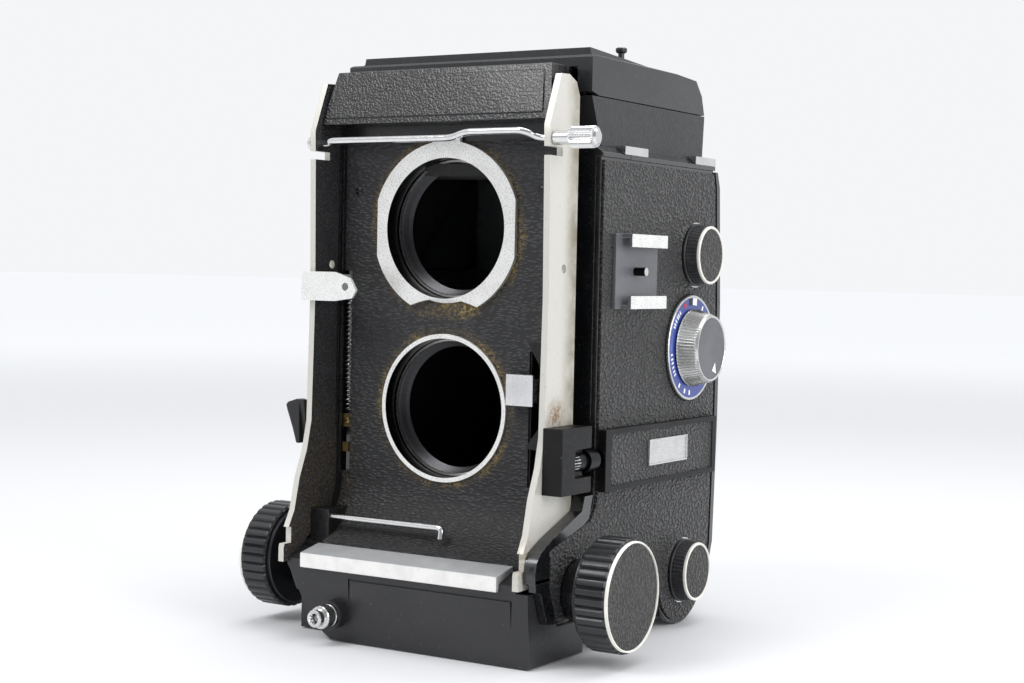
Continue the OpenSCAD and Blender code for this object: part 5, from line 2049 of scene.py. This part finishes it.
    def mark(
        self, shape: Shape, finish: Finish, degrees: float, r0: float, r1: float, wide: float
    ) -> None:
        """Adds one radial mark, a hair proud of the dial.

        Args:
            shape: Shape to add to.
            finish: Finish of the mark.
            degrees: Angle from the rear, rising anticlockwise seen from outside.
            r0: Inner radius.
            r1: Outer radius.
            wide: Width across.
        """
        angle = math.radians(degrees)
        ahead = Vector((math.cos(angle), math.sin(angle)))
        side = Vector((-ahead.y, ahead.x)) * wide / 2
        corners = [ahead * r0 - side, ahead * r1 - side, ahead * r1 + side, ahead * r0 + side]
        flat = [(-c.y, c.x) for c in corners]
        shape.prism(
            finish, Axis.RIGHT, (HALF_W + 0.84, self.selector_y, self.selector_z), flat, 0.09
        )


@dataclass
class Winder:
    """Left side: folding crank, counter window ring and the take-up spool."""

    axis_y: float = 29.6
    axis_z: float = 109.4

    def build(self) -> None:
        """Builds the crank hub, the arm with its grip and the spool."""
        carry("crank_hub", KNOB, bevel=0.15)
        carry("takeup_spool", KNOB, bevel=0.15)
        self.trim()
        self.arm()

    def trim(self) -> None:
        """Builds the ribbed rim and white ring round the hub, and the window's bezel."""
        shape = Shape()
        at = (-HALF_W, self.axis_y, self.axis_z)
        rim = [(0.5, 11.0, 0), (0.7, 11.35, 1), (3.0, 11.35, 1), (3.3, 11.0, 0)]
        shape.turned(
            KNOB,
            Axis.LEFT,
            at,
            [(0.5, 10.6, 0)] + rim + [(3.3, 10.6, 0)],
            segments=288,
            groove=flutes(count=48, depth=0.35),
            closed=True,
        )
        white = [(3.9, 10.7, 0), (4.15, 10.7, 0), (4.25, 10.5, 0), (4.25, 10.0, 0), (3.9, 9.9, 0)]
        shape.turned(RING_WHITE, Axis.LEFT, at, white, segments=96, closed=True)
        disc = [(3.9, 9.8, 0), (4.12, 9.8, 0), (4.15, 9.6, 0), (4.15, 4.0, 0)]
        shape.turned(FACE_LEATHER, Axis.LEFT, at, disc, segments=96)
        shape.place("crank_hub_trim", "crank", slot_of("crank_hub"))
        bezel = Shape()
        low, high = (-HALF_W - 0.7, -5.2, 111.8), (-HALF_W - 0.02, 9.2, 121.2)
        bezel.border(RAIL, 1, low, high, side=1.2, rail=1.2)
        bezel.place("counter_bezel", "body", slot_of("counter_window"), replaces=(), bevel=0.15)

    def arm(self) -> None:
        """Builds the crank arm with a turned, waisted grip."""
        shape = Shape()
        shape.carried("crank_arm", STEEL, self.arm_finish)
        shape.place(
            "crank_arm_plate", "arm", slot_of("crank_arm"), replaces=["crank_arm"], bevel=0.2
        )
        grip = [
            (6.4, 4.05, 0), (7.0, 4.25, 0), (8.4, 4.1, 1), (11.0, 4.1, 1), (13.0, 4.25, 1),
            (13.8, 4.05, 0), (14.0, 3.4, 0), (14.0, 0.8, 0),
        ]
        turned = Shape().turned(
            KNOB,
            Axis.LEFT,
            (-HALF_W, self.axis_y - 29, self.axis_z),
            grip,
            segments=144,
            groove=flutes(count=24, depth=0.25),
        )
        turned.place("crank_grip", "arm", slot_of("crank_arm"))

    def arm_finish(self, centre: Vector, normal: Vector) -> Finish:
        """Returns steel on the arm's plate and phenolic on its grip."""
        return KNOB if centre.x < -HALF_W - 6.4 else STEEL


@dataclass
class Back:
    """Hinged back: door with a leatherette panel, pressure plate and latch."""

    def build(self) -> None:
        """Builds the door and what it carries."""
        carry("back_door", COVER, bevel=0.3, choose=self.door_finish)
        carry("pressure_plate", MATT, bevel=0.2)
        self.panel()
        self.latch()

    def door_finish(self, centre: Vector, normal: Vector) -> Finish:
        """Returns matt paint on the film side of the door."""
        return MATT if normal.y < -0.3 and centre.z > 14 else COVER

    def panel(self) -> None:
        """Builds the leatherette sheet glued to the outside of the door."""
        outside = [(46.95, 25.0), (47.95, 59.0), (48.05, 95.0), (47.0, 113.0)]
        inside = [(46.4, 113.0), (47.4, 95.0), (47.3, 59.0), (46.3, 25.0)]
        flat = [(-z, y) for y, z in outside + inside]
        shape = Shape().prism(BODY_LEATHER, Axis.RIGHT, (-40.8, 0, 0), flat[::-1], 81.6)
        shape.place("back_leather_sheet", "door", "body_leather", replaces=(), bevel=0.12)

    def latch(self) -> None:
        """Builds the ribbed latch slide and its raised surround."""
        shape = Shape().carried("door_latch", STEEL)
        for i in range(5):
            x = -2.4 + i * 1.1
            shape.slab(STEEL, (x, 47.9, 118.0), (x + 0.5, 48.5, 122.0))
        shape.place(
            "door_latch_ribbed", "latch", slot_of("door_latch"), replaces=["door_latch"], bevel=0.1
        )
        surround = Shape()
        surround.border(COVER, 0, (-7.2, 45.6, 115.6), (7.2, 48.2, 124.4), side=1.0, rail=1.1)
        surround.place("latch_surround", "door", "black_enamel", replaces=(), bevel=0.25)


@dataclass
class Studio:
    """Plain pale floor, soft lights and the camera."""

    camera_at: Point = (278.05, -453.1, 103.7)
    azimuth: float = 31.67
    elevation: float = 2.262
    roll: float = 1.193
    lens: float = 63.15
    tent: float = 0.935
    dim: float = 0.42
    glow_near: float = 0.03
    glow_far: float = 0.4
    paper: str = "#d6d7d9"
    glow: str = "#f6f8fc"
    cloth: str = "#fcfdff"

    def build(self) -> None:
        """Builds the floor, the lights, the surround and the camera."""
        self.floor()
        self.lights()
        self.camera()

    def camera(self) -> None:
        """Creates the camera and makes it the scene's own."""
        a, e, r = (math.radians(v) for v in (self.azimuth, self.elevation, self.roll))
        back = Vector((math.sin(a) * math.cos(e), -math.cos(a) * math.cos(e), math.sin(e)))
        right = (-back).cross(Vector((0, 0, 1))).normalized()
        up = right.cross(-back)
        side = right * math.cos(r) + up * math.sin(r)
        top = up * math.cos(r) - right * math.sin(r)
        data = bpy.data.cameras.new("camera")
        data.lens = self.lens
        data.sensor_width = 36.0
        data.clip_start, data.clip_end = 0.01, 50.0
        made = bpy.data.objects.new("camera", data)
        turn = Matrix((side, top, back)).transposed()
        made.matrix_world = Matrix.Translation(mm(*self.camera_at)) @ turn.to_4x4()
        bpy.context.scene.collection.objects.link(made)
        bpy.context.scene.camera = made

    def floor(self) -> None:
        """Builds the paper floor, which glows more with distance to meet the surround."""
        bm = bmesh.new()
        bmesh.ops.create_grid(bm, x_segments=2, y_segments=2, size=12.0)
        mesh = bpy.data.meshes.new("floor")
        bm.to_mesh(mesh)
        bm.free()
        made = bpy.data.objects.new("floor", mesh)
        made.location = mm(0, 0, -0.05)
        bpy.context.scene.collection.objects.link(made)
        material = bpy.data.materials.new("pale paper")
        material.use_nodes = True
        shader = material.node_tree.nodes["Principled BSDF"]
        tree = material.node_tree
        where = add(tree, "TexCoord").outputs["Object"]
        away = add(tree, "VectorMath", {0: where}, operation="LENGTH").outputs["Value"]
        feed(
            tree,
            shader,
            base_color=linear(self.paper),
            roughness=0.8,
            specular_ior_level=0.15,
            emission_color=linear(self.glow),
            emission_strength=span(tree, away, 0.25, 1.9, self.glow_near, self.glow_far),
        )
        mesh.materials.append(material)

    def lights(self) -> None:
        """Builds the white surround, dimmer behind the camera, and three soft lights."""
        world = bpy.data.worlds.new("white tent")
        world.use_nodes = True
        tree = world.node_tree
        tree.nodes["Background"].inputs["Color"].default_value = linear(self.cloth)
        towards = (math.sin(math.radians(self.azimuth)), -math.cos(math.radians(self.azimuth)), 0.0)
        where = add(tree, "TexCoord").outputs["Generated"]
        inputs = {0: where, 1: towards}
        along = add(tree, "VectorMath", inputs, operation="DOT_PRODUCT").outputs["Value"]
        strength = span(tree, along, 0.1, 0.8, self.tent, self.dim)
        tree.links.new(strength, tree.nodes["Background"].inputs["Strength"])
        bpy.context.scene.world = world
        bpy.context.scene.view_settings.view_transform = "Standard"
        rows = (
            ("key", (-260, -560, 700), 0.4, 3.4),
            ("fill", (760, -120, 360), 0.55, 3.6),
            ("top", (60, 160, 760), 0.7, 3.0),
        )
        for name, place, size, power in rows:
            data = bpy.data.lights.new(name, "AREA")
            data.shape = "DISK"
            data.size = size
            data.energy = power
            made = bpy.data.objects.new(name, data)
            made.location = mm(*place)
            aim = mm(0, 0, 80) - made.location
            made.rotation_euler = aim.to_track_quat("-Z", "Y").to_euler()
            bpy.context.scene.collection.objects.link(made)


def main() -> None:
    """Builds every sub-assembly in order."""
    for part in (
        Studio(), Housing(), Hood(), Standard(), Bellows(), Wires(), Knobs(), Winder(), Back(),
    ):
        log.info("building %s", type(part).__name__)
        part.build()


if __name__ == "__main__":
    main()
